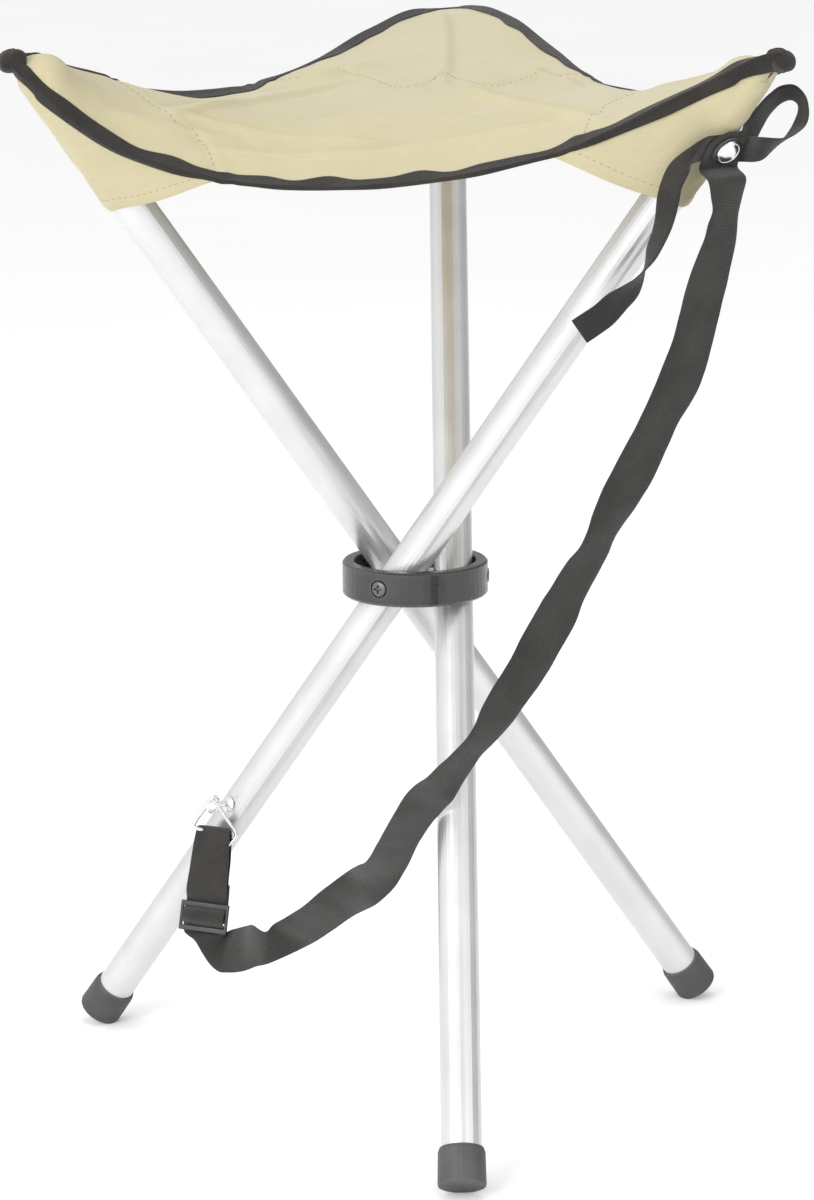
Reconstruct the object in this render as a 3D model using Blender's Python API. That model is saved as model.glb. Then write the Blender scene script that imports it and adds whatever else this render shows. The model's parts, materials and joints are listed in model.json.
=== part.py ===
"""Folding three-leg stool: three straight tubes pivot on the inside of one plastic ring and spread
a triangular fabric seat, with a carrying strap along one leg. Metres, +Z up, floor at z = 0."""

import math

import bmesh
import bpy
import numpy as np
from mathutils import Matrix, Vector

MM = 0.001

# Driving dimensions of the open stool
LEG_TILT = math.radians(36.4)  # each leg from the vertical, open
PIVOT_OFFSET = 21.8 * MM  # hub axis to the axis of each tube
LOWER_LENGTH = 356 * MM  # pivot to the end of the foot cap
UPPER_LENGTH = 362 * MM  # pivot to the top of the end plug
CLEAR = 0.3 * MM  # gap between touching pieces

# Each leg is named after the seat corner that it carries, with its compass heading
HEADINGS = {"right": math.radians(-30), "back": math.radians(90), "left": math.radians(210)}

TUBE_RADIUS = 11 * MM
TUBE_WALL = 1.2 * MM

FOOT_RADIUS = 13.1 * MM
FOOT_LENGTH = 21 * MM
FOOT_SOLE = 3 * MM
FOOT_FLAT_DEPTH = 0.9 * MM  # how deep the flat that rests on the floor is cut

PLUG_HEAD = 2.5 * MM
PLUG_SHANK = 15 * MM

RING_OUTER = 41.4 * MM
RING_INNER = 34.6 * MM
RING_HEIGHT = 19.5 * MM
RING_CHAMFER = 1.2 * MM

BOLT_RADIUS = 2.4 * MM
BOLT_HOLE = 2.8 * MM
BOLT_HEAD_RADIUS = 4.5 * MM
BOLT_HEAD_HEIGHT = 2.3 * MM
BOLT_RECESS_RADIUS = 5.3 * MM
BOLT_RECESS_DEPTH = 1.8 * MM
BOLT_TIP = 4.9 * MM  # hub axis to the bolt's end
CROSS_DEPTH = 1.3 * MM
NUT_FLATS = 8 * MM
NUT_HEIGHT = 4.6 * MM
SPACER_RADIUS = 6 * MM
SPACER_HEIGHT = 0.85 * MM

# Seat: corners from the hub, and the drop of each edge below the line joining its two corners,
# as (share of the way along, drop)
SEAT_CORNER_RADIUS = 238 * MM
SEAT_CORNER_HEIGHT = 305 * MM  # above the hub's middle
SEAT_THICKNESS = 1.2 * MM
SEAT_GRID = 24
SEAT_CROWDING = 0.5  # how much closer together the seat's grid lies at its corners
SEAT_CLEARS = TUBE_RADIUS + 3.5 * MM  # the seat's middle from each tube's axis
EDGE_INWARD = 8 * MM  # how far the middle of each edge is pulled towards the centre
EDGE_DROPS = {
    ("left", "right"): (
        (0, 0), (0.06, 3), (0.14, 22), (0.27, 57), (0.42, 69), (0.63, 60), (0.83, 28), (0.94, 4),
        (1, 0),
    ),
    ("right", "back"): ((0, 0), (0.08, 2), (0.2, 19), (0.36, 31), (0.55, 29), (0.8, 5), (1, 0)),
    ("back", "left"): ((0, 0), (0.12, 1), (0.27, 16), (0.42, 29), (0.6, 32), (0.82, 16), (1, 0)),
}

BINDING_DEPTH = 7 * MM
BINDING_WALL = 0.8 * MM
BINDING_START = 5  # in steps of the seat's grid from each corner
BINDING_GAP = 2.2 * MM  # middle of the seat fabric to the inside of the binding

POCKET_WALL = 1.0 * MM
POCKET_TOP = UPPER_LENGTH - 4 * MM
POCKET_MOUTH = 275 * MM  # pivot to the open end of each corner pocket
POCKET_WRAP = math.radians(65)  # each way from straight under the tube
POCKET_WING = (5 * MM, 24 * MM)  # the pocket's sides beyond the arc, at its top and its mouth
POCKET_STATIONS = 7

# Carrying strap: it hangs from a stud low on the outside of the right leg's top, and ends in a
# wire triangle clipped to the same leg near its foot. Routes are from the hub's middle.
STUD_STATION = 325 * MM
STUD_TURN = math.radians(68)  # from the pivot side towards the leg's underside
STRAP_WIDTH = 25 * MM
STRAP_THICKNESS = 1.3 * MM
STRAP_ROUTE = (
    (163, -131, 223), (153, -132, 180), (140, -130, 134), (129, -129, 108), (115, -128, 81),
    (103, -127, 54), (87, -125, 26), (74, -123, 1), (60, -120, -26), (45, -116, -51),
    (33, -115, -70), (19, -111, -89), (7, -105, -105), (-4, -95, -129), (-18, -80, -150),
    (-41, -57, -176), (-68, -35, -201), (-90, -15, -216), (-108, 0, -222), (-120, 8, -217),
    (-125, 14, -206), (-123, 20, -181), (-119, 24, -160), (-118.6, 24, -153),
)

CLOSER_WIDTH = 15 * MM
CLOSER_ROUTE = (
    (183, -106, 264, -20), (192, -103, 275, -10), (201, -105, 281, 10), (209, -112, 277, 40),
    (209, -121, 267, 60), (202, -128, 260, 30), (191, -131, 256, 5),
    (140, -133, 253, 0), (133, -135, 243, 0), (130, -136, 231, 5),
    (126, -137, 211, 40), (122, -136, 190, 95), (113, -134, 177, 130), (100, -132, 167, 150),
    (87, -130, 157, 155),
)  # x, y, z and the turn of the strap's face about the strap, in degrees

SLIDER_POINT = (-124, 10.5, -198)
SLIDER_TURN = math.radians(-6)
SLIDER_LEAN = math.radians(-15)
SLIDER_HEIGHT = 17 * MM
SLIDER_WIDTH = 31 * MM
SLIDER_BAR = 3 * MM

CLIP_STATION = -187 * MM
WIRE_RADIUS = 1.2 * MM
TRIANGLE = ((-118.3, 17, -137), (-130.2, 22, -153), (-103.8, 22, -159))
EYE_RADIUS = 4.6 * MM
EYE_WIRE = 1 * MM

HUB = Matrix.Identity(4)

COLOURS = {
    "tube": ((0.80, 0.81, 0.82), 0.3, 1.0),
    "plastic": ((0.07, 0.07, 0.068), 0.35, 0.0),
    "rubber": ((0.06, 0.06, 0.058), 0.55, 0.0),
    "steel": ((0.62, 0.62, 0.60), 0.25, 1.0),
    "nylon": ((0.75, 0.75, 0.72), 0.5, 0.0),
    "seat_fabric": ((0.66, 0.62, 0.42), 0.9, 0.0),
    "binding": ((0.05, 0.047, 0.045), 0.85, 0.0),
    "webbing": ((0.04, 0.038, 0.035), 0.9, 0.0),
}


def clear_scene():
    for old in list(bpy.data.objects):
        bpy.data.objects.remove(old, do_unlink=True)


def material(slot):
    found = bpy.data.materials.get(slot)
    if found:
        return found
    colour, roughness, metallic = COLOURS[slot]
    made = bpy.data.materials.new(slot)
    made.use_nodes = True
    shader = made.node_tree.nodes["Principled BSDF"]
    shader.inputs["Base Color"].default_value = (*colour, 1)
    shader.inputs["Roughness"].default_value = roughness
    shader.inputs["Metallic"].default_value = metallic
    return made


def add(name, bm, slot, parent, place=HUB):
    """One object from a bmesh, with its own axes at `place` from the hub's middle."""
    mesh = bpy.data.meshes.new(name)
    bmesh.ops.recalc_face_normals(bm, faces=bm.faces)
    bm.to_mesh(mesh)
    bm.free()
    mesh.shade_smooth()
    mesh.set_sharp_from_angle(angle=math.radians(35))
    made = bpy.data.objects.new(name, mesh)
    bpy.context.scene.collection.objects.link(made)
    if slot:
        mesh.materials.append(material(slot))
    attach(made, parent, place)
    return made


def attach(piece, parent, place=HUB):
    """Parents a piece, with its own axes at `place` from the hub's middle."""
    piece.parent = parent
    corner = parent.name.removeprefix("leg_")
    held = leg_frame(corner) if corner in HEADINGS else HUB
    piece.matrix_local = held.inverted() @ place


def empty(name, place, parent=None):
    made = bpy.data.objects.new(name, None)
    bpy.context.scene.collection.objects.link(made)
    made.parent = parent
    made.matrix_local = place
    return made


def lathe(profile, steps, closed=False):
    """A solid of revolution about Z from (radius, height) points."""
    bm = bmesh.new()
    points = [bm.verts.new((radius, 0, height)) for radius, height in profile]
    pairs = list(zip(points, points[1:]))
    if closed:
        pairs.append((points[-1], points[0]))
    edges = [bm.edges.new(pair) for pair in pairs]
    bmesh.ops.spin(
        bm, geom=points + edges, cent=(0, 0, 0), axis=(0, 0, 1), angle=2 * math.pi,
        steps=steps, use_merge=True,
    )
    bmesh.ops.remove_doubles(bm, verts=bm.verts, dist=1e-6)
    return bm


def prism(sides, radius, low, high):
    """An upright prism between two heights, its first corner on X."""
    bm = bmesh.new()
    bmesh.ops.create_cone(
        bm, cap_ends=True, segments=sides, radius1=radius, radius2=radius, depth=high - low,
        matrix=Matrix.Translation((0, 0, (low + high) / 2)),
    )
    return bm


def cutter(name, bm, parent, place):
    made = add(name, bm, None, parent, place)
    made.hide_render = True
    made.display_type = "WIRE"
    return made


def cut(target, tool):
    modifier = target.modifiers.new(tool.name, "BOOLEAN")
    modifier.operation = "DIFFERENCE"
    modifier.object = tool


def axes(x, z):
    """A rotation whose Z is `z` and whose X is as near `x` as it can be."""
    z = Vector(z).normalized()
    y = z.cross(Vector(x)).normalized()
    return Matrix((y.cross(z), y, z)).transposed().to_4x4()


def leg_directions(corner):
    """(radial, along) of a leg: out through its bolt, and up the tube."""
    heading = HEADINGS[corner]
    top = Vector((math.cos(heading), math.sin(heading), 0))
    radial = Vector((math.sin(heading), -math.cos(heading), 0))
    along = math.sin(LEG_TILT) * top + math.cos(LEG_TILT) * Vector((0, 0, 1))
    return radial, along


def leg_frame(corner):
    """A leg's own axes: X out through its bolt, Y to its underside, Z up the tube."""
    radial, along = leg_directions(corner)
    return Matrix.Translation(PIVOT_OFFSET * radial) @ axes(radial, along)


def hub_height():
    """The hub's middle above the floor, with the feet standing on their flats."""
    reach = LOWER_LENGTH * math.cos(LEG_TILT) + FOOT_RADIUS * math.sin(LEG_TILT)
    return reach - FOOT_FLAT_DEPTH


def smooth_value(knots, at):
    """A Catmull-Rom curve through (position, value) knots."""
    x = np.array([k[0] for k in knots], float)
    y = np.array([k[1] for k in knots], float)
    slope = np.gradient(y, x)
    n = int(np.clip(np.searchsorted(x, at, side="right") - 1, 0, len(x) - 2))
    step = x[n + 1] - x[n]
    t = (at - x[n]) / step
    rise = (2 * t**3 - 3 * t**2 + 1) * y[n] + (3 * t**2 - 2 * t**3) * y[n + 1]
    return float(rise + step * ((t**3 - 2 * t**2 + t) * slope[n] + (t**3 - t**2) * slope[n + 1]))


def smooth_route(points, count):
    """`count` points spread evenly by length along a smooth curve through `points`."""
    points = np.array(points, float)
    lengths = np.r_[0, np.cumsum(np.linalg.norm(np.diff(points[:, :3], axis=0), axis=1))]
    at = np.linspace(0, lengths[-1], count)
    columns = [
        [smooth_value(list(zip(lengths, column)), value) for value in at] for column in points.T
    ]
    return np.array(columns).T.tolist()


def seat_corner(corner):
    radial, along = leg_directions(corner)
    flat = PIVOT_OFFSET * radial + UPPER_LENGTH * Vector((along.x, along.y, 0))
    return SEAT_CORNER_RADIUS * flat.normalized() + Vector((0, 0, SEAT_CORNER_HEIGHT))


def edge_point(first, second, share):
    """A point on the seat's edge from one corner to the next."""
    a, b = seat_corner(first), seat_corner(second)
    inward = Vector((-(b - a).y, (b - a).x, 0)).normalized()
    if inward.dot(a) > 0:
        inward = -inward
    drop = smooth_value(EDGE_DROPS[first, second], share) * MM
    sag = EDGE_INWARD * math.sin(math.pi * share)
    return a.lerp(b, share) + sag * inward - Vector((0, 0, drop))


def seat_surface():
    """{(i, j): point} over a triangular grid: the edges are given, and each inner point is the
    mean of its six neighbours, as in an evenly stretched skin that lies over the tube ends."""
    n = SEAT_GRID
    points = {}
    for i in range(n + 1):
        share = i / n - SEAT_CROWDING * math.sin(2 * math.pi * i / n) / (2 * math.pi)
        points[i, 0] = edge_point("left", "right", share)
        points[n - i, i] = edge_point("right", "back", share)
        points[0, n - i] = edge_point("back", "left", share)
    inner = [(i, j) for i in range(1, n) for j in range(1, n - i)]
    points.update({key: Vector((0, 0, SEAT_CORNER_HEIGHT - 35 * MM)) for key in inner})
    relax(points, inner, {key: 0 for key in points})
    lowest = {key: over_tubes(point) for key, point in points.items()}
    for key, point in points.items():
        point.z = max(point.z, lowest[key])
    relax(points, inner, lowest)
    return points


def relax(points, inner, lowest):
    around = ((1, 0), (-1, 0), (0, 1), (0, -1), (1, -1), (-1, 1))
    for _ in range(300):
        for i, j in inner:
            point = sum((points[i + di, j + dj] for di, dj in around), Vector()) / 6
            point.z = max(point.z, lowest[i, j])
            points[i, j] = point


def over_tubes(point):
    """The lowest height at which the seat clears every tube's end above this point."""
    lowest = 0
    for corner in HEADINGS:
        radial, along = leg_directions(corner)
        for step in range(40):
            ball = PIVOT_OFFSET * radial + (UPPER_LENGTH - (5 + 2 * step) * MM) * along
            aside = math.hypot(point.x - ball.x, point.y - ball.y)
            if aside < SEAT_CLEARS:
                lowest = max(lowest, ball.z + math.sqrt(SEAT_CLEARS**2 - aside**2))
    return lowest


def add_seat(points, parent):
    bm = bmesh.new()
    verts = {key: bm.verts.new(point) for key, point in points.items()}
    for i in range(SEAT_GRID):
        for j in range(SEAT_GRID - i):
            bm.faces.new((verts[i, j], verts[i + 1, j], verts[i, j + 1]))
            if i + j < SEAT_GRID - 1:
                bm.faces.new((verts[i + 1, j], verts[i + 1, j + 1], verts[i, j + 1]))
    seat = add("seat_panel", bm, "seat_fabric", parent)
    skin = seat.modifiers.new("thickness", "SOLIDIFY")
    skin.thickness = SEAT_THICKNESS
    skin.offset = 0
    return seat


def loft(sections):
    """A closed solid through equal rings of points, capped at both ends."""
    bm = bmesh.new()
    rings = [[bm.verts.new(point) for point in section] for section in sections]
    size = len(rings[0])
    for ring, following in zip(rings, rings[1:]):
        for k in range(size):
            after = (k + 1) % size
            bm.faces.new((ring[k], ring[after], following[after], following[k]))
    for ring in (rings[0], rings[-1]):
        cap = bm.faces.new(ring)
        bmesh.ops.triangulate(bm, faces=[cap])
    return bm


def add_binding(first, second, points, parent):
    """The folded tape over one edge of the seat: a U section along the edge."""
    n = SEAT_GRID
    grid = {
        "left": lambda i, j: (i, j),
        "right": lambda i, j: (n - i - j, i),
        "back": lambda i, j: (j, n - i - j),
    }[first]
    reach, outer, inner = BINDING_DEPTH, BINDING_GAP + BINDING_WALL, BINDING_GAP
    end = -SEAT_THICKNESS / 2 - CLEAR
    section = (
        (reach, inner), (end, inner), (end, -inner), (reach, -inner), (reach, -outer),
        (end - BINDING_WALL, -outer), (end - BINDING_WALL, outer), (reach, outer),
    )
    sections = []
    for i in range(BINDING_START, n - BINDING_START + 1):
        point = points[grid(i, 0)]
        ahead = (points[grid(i + 1, 0)] - points[grid(i - 1, 0)]).normalized()
        within = (points[grid(i - 1, 1)] + points[grid(i, 1)]) / 2 - point
        into = (within - within.dot(ahead) * ahead).normalized()
        normal = ahead.cross(into)
        sections.append([point + along * into + up * normal for along, up in section])
    return add(f"binding_{first}_{second}", loft(sections), "binding", parent)


def add_hub(root):
    half, outer, inner, bevel = RING_HEIGHT / 2, RING_OUTER, RING_INNER, RING_CHAMFER
    profile = (
        (inner, -half + bevel / 2), (inner + bevel / 2, -half), (outer - bevel, -half),
        (outer, -half + bevel), (outer, half - bevel), (outer - bevel, half),
        (inner + bevel / 2, half), (inner, half - bevel / 2),
    )
    ring = add("hub_ring", lathe(profile, 60, closed=True), "plastic", root)
    for corner in HEADINGS:
        radial, _ = leg_directions(corner)
        outward = axes((0, 0, 1), radial)
        hole = prism(24, BOLT_HOLE, RING_INNER - 5 * MM, RING_OUTER + 5 * MM)
        cut(ring, cutter(f"hole_{corner}", hole, root, outward))
        floor = RING_OUTER - BOLT_RECESS_DEPTH
        recess = prism(32, BOLT_RECESS_RADIUS, floor, RING_OUTER + 5 * MM)
        cut(ring, cutter(f"recess_{corner}", recess, root, outward))
        add_bolt(corner, root, outward, floor + CLEAR)
        add_nut(corner, root, outward)
        high = math.sqrt(RING_INNER**2 - SPACER_RADIUS**2) - CLEAR
        washer = (
            (BOLT_HOLE, high - SPACER_HEIGHT), (SPACER_RADIUS, high - SPACER_HEIGHT),
            (SPACER_RADIUS, high), (BOLT_HOLE, high),
        )
        add(f"spacer_{corner}", lathe(washer, 24, closed=True), "nylon", root, outward)


def add_bolt(corner, root, outward, seat):
    """A pan-head bolt whose head sits in the ring's recess."""
    head, rise = BOLT_HEAD_RADIUS, BOLT_HEAD_HEIGHT
    profile = (
        (0, BOLT_TIP), (BOLT_RADIUS - 0.4 * MM, BOLT_TIP), (BOLT_RADIUS, BOLT_TIP + 0.6 * MM),
        (BOLT_RADIUS, seat), (head, seat), (head, seat + 0.55 * rise),
        (0.9 * head, seat + 0.8 * rise), (0.6 * head, seat + 0.95 * rise), (0, seat + rise),
    )
    bolt = add(f"bolt_{corner}", lathe(profile, 20), "steel", root, outward)
    bm = bmesh.new()
    top = seat + rise
    for size in ((0.55, 0.14), (0.14, 0.55)):
        corner_box = Matrix.Diagonal((2 * size[0] * head, 2 * size[1] * head, 2 * CROSS_DEPTH, 1))
        bmesh.ops.create_cube(bm, size=1, matrix=Matrix.Translation((0, 0, top)) @ corner_box)
    slots = cutter(f"cross_{corner}", bm, root, outward)
    cut(bolt, slots)
    bolt.modifiers[-1].use_self = True


def add_nut(corner, root, outward):
    high = PIVOT_OFFSET - TUBE_RADIUS - CLEAR
    corner_radius = NUT_FLATS / math.sqrt(3)
    nut = add(
        f"nut_{corner}", prism(6, corner_radius, high - NUT_HEIGHT, high), "steel", root, outward
    )
    hole = prism(20, BOLT_RADIUS + CLEAR, high - 2 * NUT_HEIGHT, high + NUT_HEIGHT)
    cut(nut, cutter(f"nut_hole_{corner}", hole, root, outward))


def add_leg(corner, root):
    place = leg_frame(corner)
    pivot = empty(f"leg_{corner}", place, root)
    low = -LOWER_LENGTH + FOOT_SOLE + CLEAR
    high = UPPER_LENGTH - PLUG_HEAD - CLEAR
    bore = TUBE_RADIUS - TUBE_WALL
    wall = ((TUBE_RADIUS, low), (TUBE_RADIUS, high), (bore, high), (bore, low))
    tube = add(f"tube_{corner}", lathe(wall, 32, closed=True), "tube", pivot, place)
    sideways = place @ axes((0, 0, 1), (1, 0, 0))
    bolt_way = prism(20, BOLT_HOLE, -2 * TUBE_RADIUS, 2 * TUBE_RADIUS)
    cut(tube, cutter(f"bolt_way_{corner}", bolt_way, pivot, sideways))
    add_foot(corner, pivot)
    shank = bore - 2 * CLEAR
    top, head = UPPER_LENGTH, UPPER_LENGTH - PLUG_HEAD
    foot = head - PLUG_SHANK
    plug = (
        (0, foot), (shank - MM, foot), (shank, foot + MM), (shank, head), (TUBE_RADIUS, head),
        (TUBE_RADIUS, top - MM), (TUBE_RADIUS - MM, top), (0, top),
    )
    add(f"end_plug_{corner}", lathe(plug, 28), "plastic", pivot, place)
    return pivot, tube


def add_foot(corner, pivot):
    """The rubber cap, with the flat on its low edge that meets the floor."""
    end, rim = -LOWER_LENGTH, -LOWER_LENGTH + FOOT_LENGTH
    bore, floor = TUBE_RADIUS + CLEAR, -LOWER_LENGTH + FOOT_SOLE
    profile = (
        (0, end), (FOOT_RADIUS - 1.2 * MM, end), (FOOT_RADIUS - 0.3 * MM, end + 0.4 * MM),
        (FOOT_RADIUS, end + 1.3 * MM), (FOOT_RADIUS - 0.3 * MM, rim - 2.2 * MM),
        (FOOT_RADIUS - 1.1 * MM, rim), (bore, rim), (bore, floor), (0, floor),
    )
    bm = lathe(profile, 28)
    up = Vector((0, -math.sin(LEG_TILT), math.cos(LEG_TILT)))
    cut_off = bmesh.ops.bisect_plane(
        bm, geom=list(bm.verts) + list(bm.edges) + list(bm.faces), plane_co=-hub_height() * up,
        plane_no=up, clear_inner=True,
    )
    rim_edges = [item for item in cut_off["geom_cut"] if isinstance(item, bmesh.types.BMEdge)]
    bmesh.ops.contextual_create(bm, geom=rim_edges)
    add(f"foot_{corner}", bm, "rubber", pivot, leg_frame(corner))


def add_pocket(corner, pivot):
    """The fabric sleeve sewn under one seat corner, which takes the leg's end: an arc under the
    tube, opening out towards the seat's edges and wider at its mouth."""
    radius = TUBE_RADIUS + CLEAR + POCKET_WALL / 2
    bm = bmesh.new()
    rows = []
    for share in np.linspace(0, 1, POCKET_STATIONS).tolist():
        station = POCKET_TOP + (POCKET_MOUTH - POCKET_TOP) * share
        wing = POCKET_WING[0] + (POCKET_WING[1] - POCKET_WING[0]) * share
        outline = []
        for lean in np.linspace(-POCKET_WRAP, POCKET_WRAP, 11).tolist():
            outline.append((radius * math.sin(lean), radius * math.cos(lean)))
        for side in (-1, 1):
            out = (side * math.cos(POCKET_WRAP), -math.sin(POCKET_WRAP))
            x, y = outline[0] if side < 0 else outline[-1]
            for part in (0.5, 1):
                point = (x + wing * part * out[0], y + wing * part * out[1])
                outline.insert(0 if side < 0 else len(outline), point)
        rows.append([bm.verts.new((x, y, station)) for x, y in outline])
    for row, following in zip(rows, rows[1:]):
        for k in range(len(row) - 1):
            bm.faces.new((row[k], row[k + 1], following[k + 1], following[k]))
    pocket = add(f"pocket_{corner}", bm, "seat_fabric", pivot, leg_frame(corner))
    skin = pocket.modifiers.new("thickness", "SOLIDIFY")
    skin.thickness = POCKET_WALL
    skin.offset = 0
    return pocket


def stud_frame():
    """(middle of the tube, outward direction) at the strap's stud."""
    radial, along = leg_directions("right")
    under = along.cross(radial)
    out = math.cos(STUD_TURN) * radial + math.sin(STUD_TURN) * under
    return PIVOT_OFFSET * radial + STUD_STATION * along, out


def ribbon(route, faces, width, thickness):
    """A flat strap along `route`, its face turned to the matching entry of `faces`."""
    sections = []
    route = [Vector(point) for point in route]
    for k, point in enumerate(route):
        ahead = (route[min(k + 1, len(route) - 1)] - route[max(k - 1, 0)]).normalized()
        across = ahead.cross(Vector(faces[k])).normalized()
        up = across.cross(ahead).normalized()
        a, b = across * width / 2, up * thickness / 2
        sections.append([point - a - b, point + a - b, point + a + b, point - a + b])
    return loft(sections)


def add_straps(pivot, pocket, tube):
    """The carrying strap and the closing strap, both held by the stud."""
    middle, out = stud_frame()
    first = TUBE_RADIUS + CLEAR + POCKET_WALL + CLEAR
    closer_level = first + STRAP_THICKNESS / 2
    strap_level = closer_level + STRAP_THICKNESS + 3 * CLEAR
    down = Vector((0, 0, -1)) - Vector((0, 0, -1)).dot(out) * out
    down.normalize()
    start = middle + strap_level * out
    viewer = Vector((0, -1, 0))

    lead = [start - 9 * MM * down, start, start + 12 * MM * down]
    route = [tuple(p) for p in lead] + [tuple(c * MM for c in p) for p in STRAP_ROUTE]
    route = smooth_route(route, 60)
    turning = [min(max(k - 3, 0) / 6, 1) for k in range(len(route))]
    faces = [out.lerp(viewer, share) for share in turning]
    strap = ribbon(route, faces, STRAP_WIDTH, STRAP_THICKNESS)
    strap = add("carry_strap", strap, "webbing", pivot)

    sideways = Vector((-1, 0, 0)) - Vector((-1, 0, 0)).dot(out) * out
    sideways.normalize()
    seat = middle + closer_level * out
    points = [(*(c * MM for c in p[:3]), p[3]) for p in CLOSER_ROUTE]
    held = [(*(seat + side * MM * sideways), 0) for side in (-17, -6, 6, 17)]
    points = points[:7] + held + points[7:]
    points = smooth_route(points, 48)
    faces = []
    for k, point in enumerate(points):
        near = max(0, 1 - (Vector(point[:3]) - seat).length / (30 * MM))
        ahead = Vector(points[min(k + 1, 47)][:3]) - Vector(points[max(k - 1, 0)][:3])
        turn = Matrix.Rotation(math.radians(point[3]), 3, ahead.normalized())
        faces.append((turn @ viewer).lerp(out, min(1, 2 * near)))
    closer = ribbon([p[:3] for p in points], faces, CLOSER_WIDTH, STRAP_THICKNESS)
    closer = add("closing_strap", closer, "webbing", pivot)

    turned = Matrix.Translation(middle) @ axes((0, 0, 1), out)
    hole = prism(16, 2.1 * MM, TUBE_RADIUS / 2, strap_level + 8 * MM)
    hole = cutter("stud_hole", hole, pivot, turned)
    top = strap_level + STRAP_THICKNESS / 2 + 2 * CLEAR
    foot, stem = TUBE_RADIUS - TUBE_WALL - 3 * CLEAR, 1.8 * MM
    profile = (
        (0, foot - MM), (3.2 * MM, foot - MM), (3.2 * MM, foot), (stem, foot), (stem, top),
        (7 * MM, top), (7 * MM, top + 0.5 * MM), (6.2 * MM, top + 0.9 * MM),
        (5.8 * MM, top + 0.9 * MM), (5.2 * MM, top + 1.7 * MM), (3.4 * MM, top + 2.2 * MM),
        (0, top + 2.4 * MM),
    )
    add("strap_stud", lathe(profile, 24), "steel", pivot, turned)
    for piece in (strap, closer, pocket, tube):
        cut(piece, hole)


def add_slider(pivot):
    """The three-bar slider that takes the doubled end of the carrying strap."""
    wide, tall, bar = SLIDER_WIDTH / 2, SLIDER_HEIGHT / 2, SLIDER_BAR
    bm = bmesh.new()
    box = Matrix.Diagonal((2 * wide, 2.4 * MM, 2 * tall, 1))
    bmesh.ops.create_cube(bm, size=1, matrix=box)
    place = Matrix.Translation(Vector(SLIDER_POINT) * MM) @ Matrix.Rotation(SLIDER_TURN, 4, "Y")
    place = place @ Matrix.Rotation(SLIDER_LEAN, 4, "X")
    slider = add("strap_slider", bm, "plastic", pivot, place)
    gap = (2 * tall - 3 * bar) / 2
    for side in (-1, 1):
        bm = bmesh.new()
        shape = Matrix.Diagonal((2 * wide - 2 * bar, 10 * MM, gap, 1))
        shift = Matrix.Translation((0, 0, side * (bar + gap) / 2))
        bmesh.ops.create_cube(bm, size=1, matrix=shift @ shape)
        cut(slider, cutter(f"slider_slot_{side}", bm, pivot, place))


def wire(name, points, radius, slot, cyclic=False):
    curve = bpy.data.curves.new(name, "CURVE")
    curve.dimensions = "3D"
    curve.bevel_depth = radius
    curve.bevel_resolution = 2
    curve.use_fill_caps = True
    spline = curve.splines.new("POLY")
    spline.points.add(len(points) - 1)
    for target, point in zip(spline.points, points):
        target.co = (*point, 1)
    spline.use_cyclic_u = cyclic
    curve.materials.append(material(slot))
    made = bpy.data.objects.new(name, curve)
    bpy.context.scene.collection.objects.link(made)
    return made


def rounded_loop(corners, radius, steps=4):
    """Points round a closed polygon with its corners rounded."""
    points = []
    for k, corner in enumerate(corners):
        before = (corners[k - 1] - corner).normalized()
        after = (corners[(k + 1) % len(corners)] - corner).normalized()
        half = before.angle(after) / 2
        start = corner + before * radius / math.tan(half)
        stop = corner + after * radius / math.tan(half)
        middle = corner + (before + after).normalized() * radius / math.sin(half)
        a, b = start - middle, stop - middle
        for step in range(steps + 1):
            points.append(middle + radius * a.lerp(b, step / steps).normalized())
    return points


def add_triangle(pivot):
    """The wire triangle at the strap's lower end, and the clip that holds it to the tube."""
    corners = [Vector(p) * MM for p in TRIANGLE]
    points = rounded_loop(corners, 2.5 * MM)
    triangle = wire("strap_triangle", points, WIRE_RADIUS, "steel", cyclic=True)
    attach(triangle, pivot)

    radial, along = leg_directions("right")
    base = PIVOT_OFFSET * radial + CLIP_STATION * along
    apex = max(points, key=lambda point: point.z)
    out = apex - base
    out = (out - out.dot(along) * along).normalized()
    reach = (apex - base).dot(out)
    across = (corners[2] - corners[1]).normalized()
    end = reach - 0.9 * EYE_RADIUS
    shank = (
        (0, TUBE_RADIUS + CLEAR), (4.5 * MM, TUBE_RADIUS + CLEAR), (4.5 * MM, TUBE_RADIUS + MM),
        (1.6 * MM, TUBE_RADIUS + 2.2 * MM), (1.6 * MM, end), (0, end),
    )
    base += (apex - base).dot(along) * along
    place = Matrix.Translation(base) @ axes(across, out)
    clip = add("triangle_clip", lathe(shank, 20), "steel", pivot, place)
    circle = [2 * math.pi * k / 10 for k in range(10)]
    section = [(EYE_RADIUS + EYE_WIRE * math.cos(a), EYE_WIRE * math.sin(a)) for a in circle]
    place = Matrix.Translation(apex) @ axes(out, across - across.dot(out) * out)
    eye = cutter("clip_eye", lathe(section, 20, closed=True), pivot, place)
    joined = clip.modifiers.new("eye", "BOOLEAN")
    joined.operation = "UNION"
    joined.object = eye


def centre_on_origin(root):
    """Moves the stool so that the middle of its box stands on the origin."""
    bpy.context.view_layer.update()
    graph = bpy.context.evaluated_depsgraph_get()
    points = []
    for piece in bpy.data.objects:
        if piece.type == "MESH" and not piece.hide_render:
            shape = piece.evaluated_get(graph)
            points += [shape.matrix_world @ v.co for v in shape.to_mesh().vertices]
    points = np.array(points)
    middle = (points.min(axis=0) + points.max(axis=0)) / 2
    root.location.x -= middle[0]
    root.location.y -= middle[1]
    bpy.context.view_layer.update()


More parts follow.
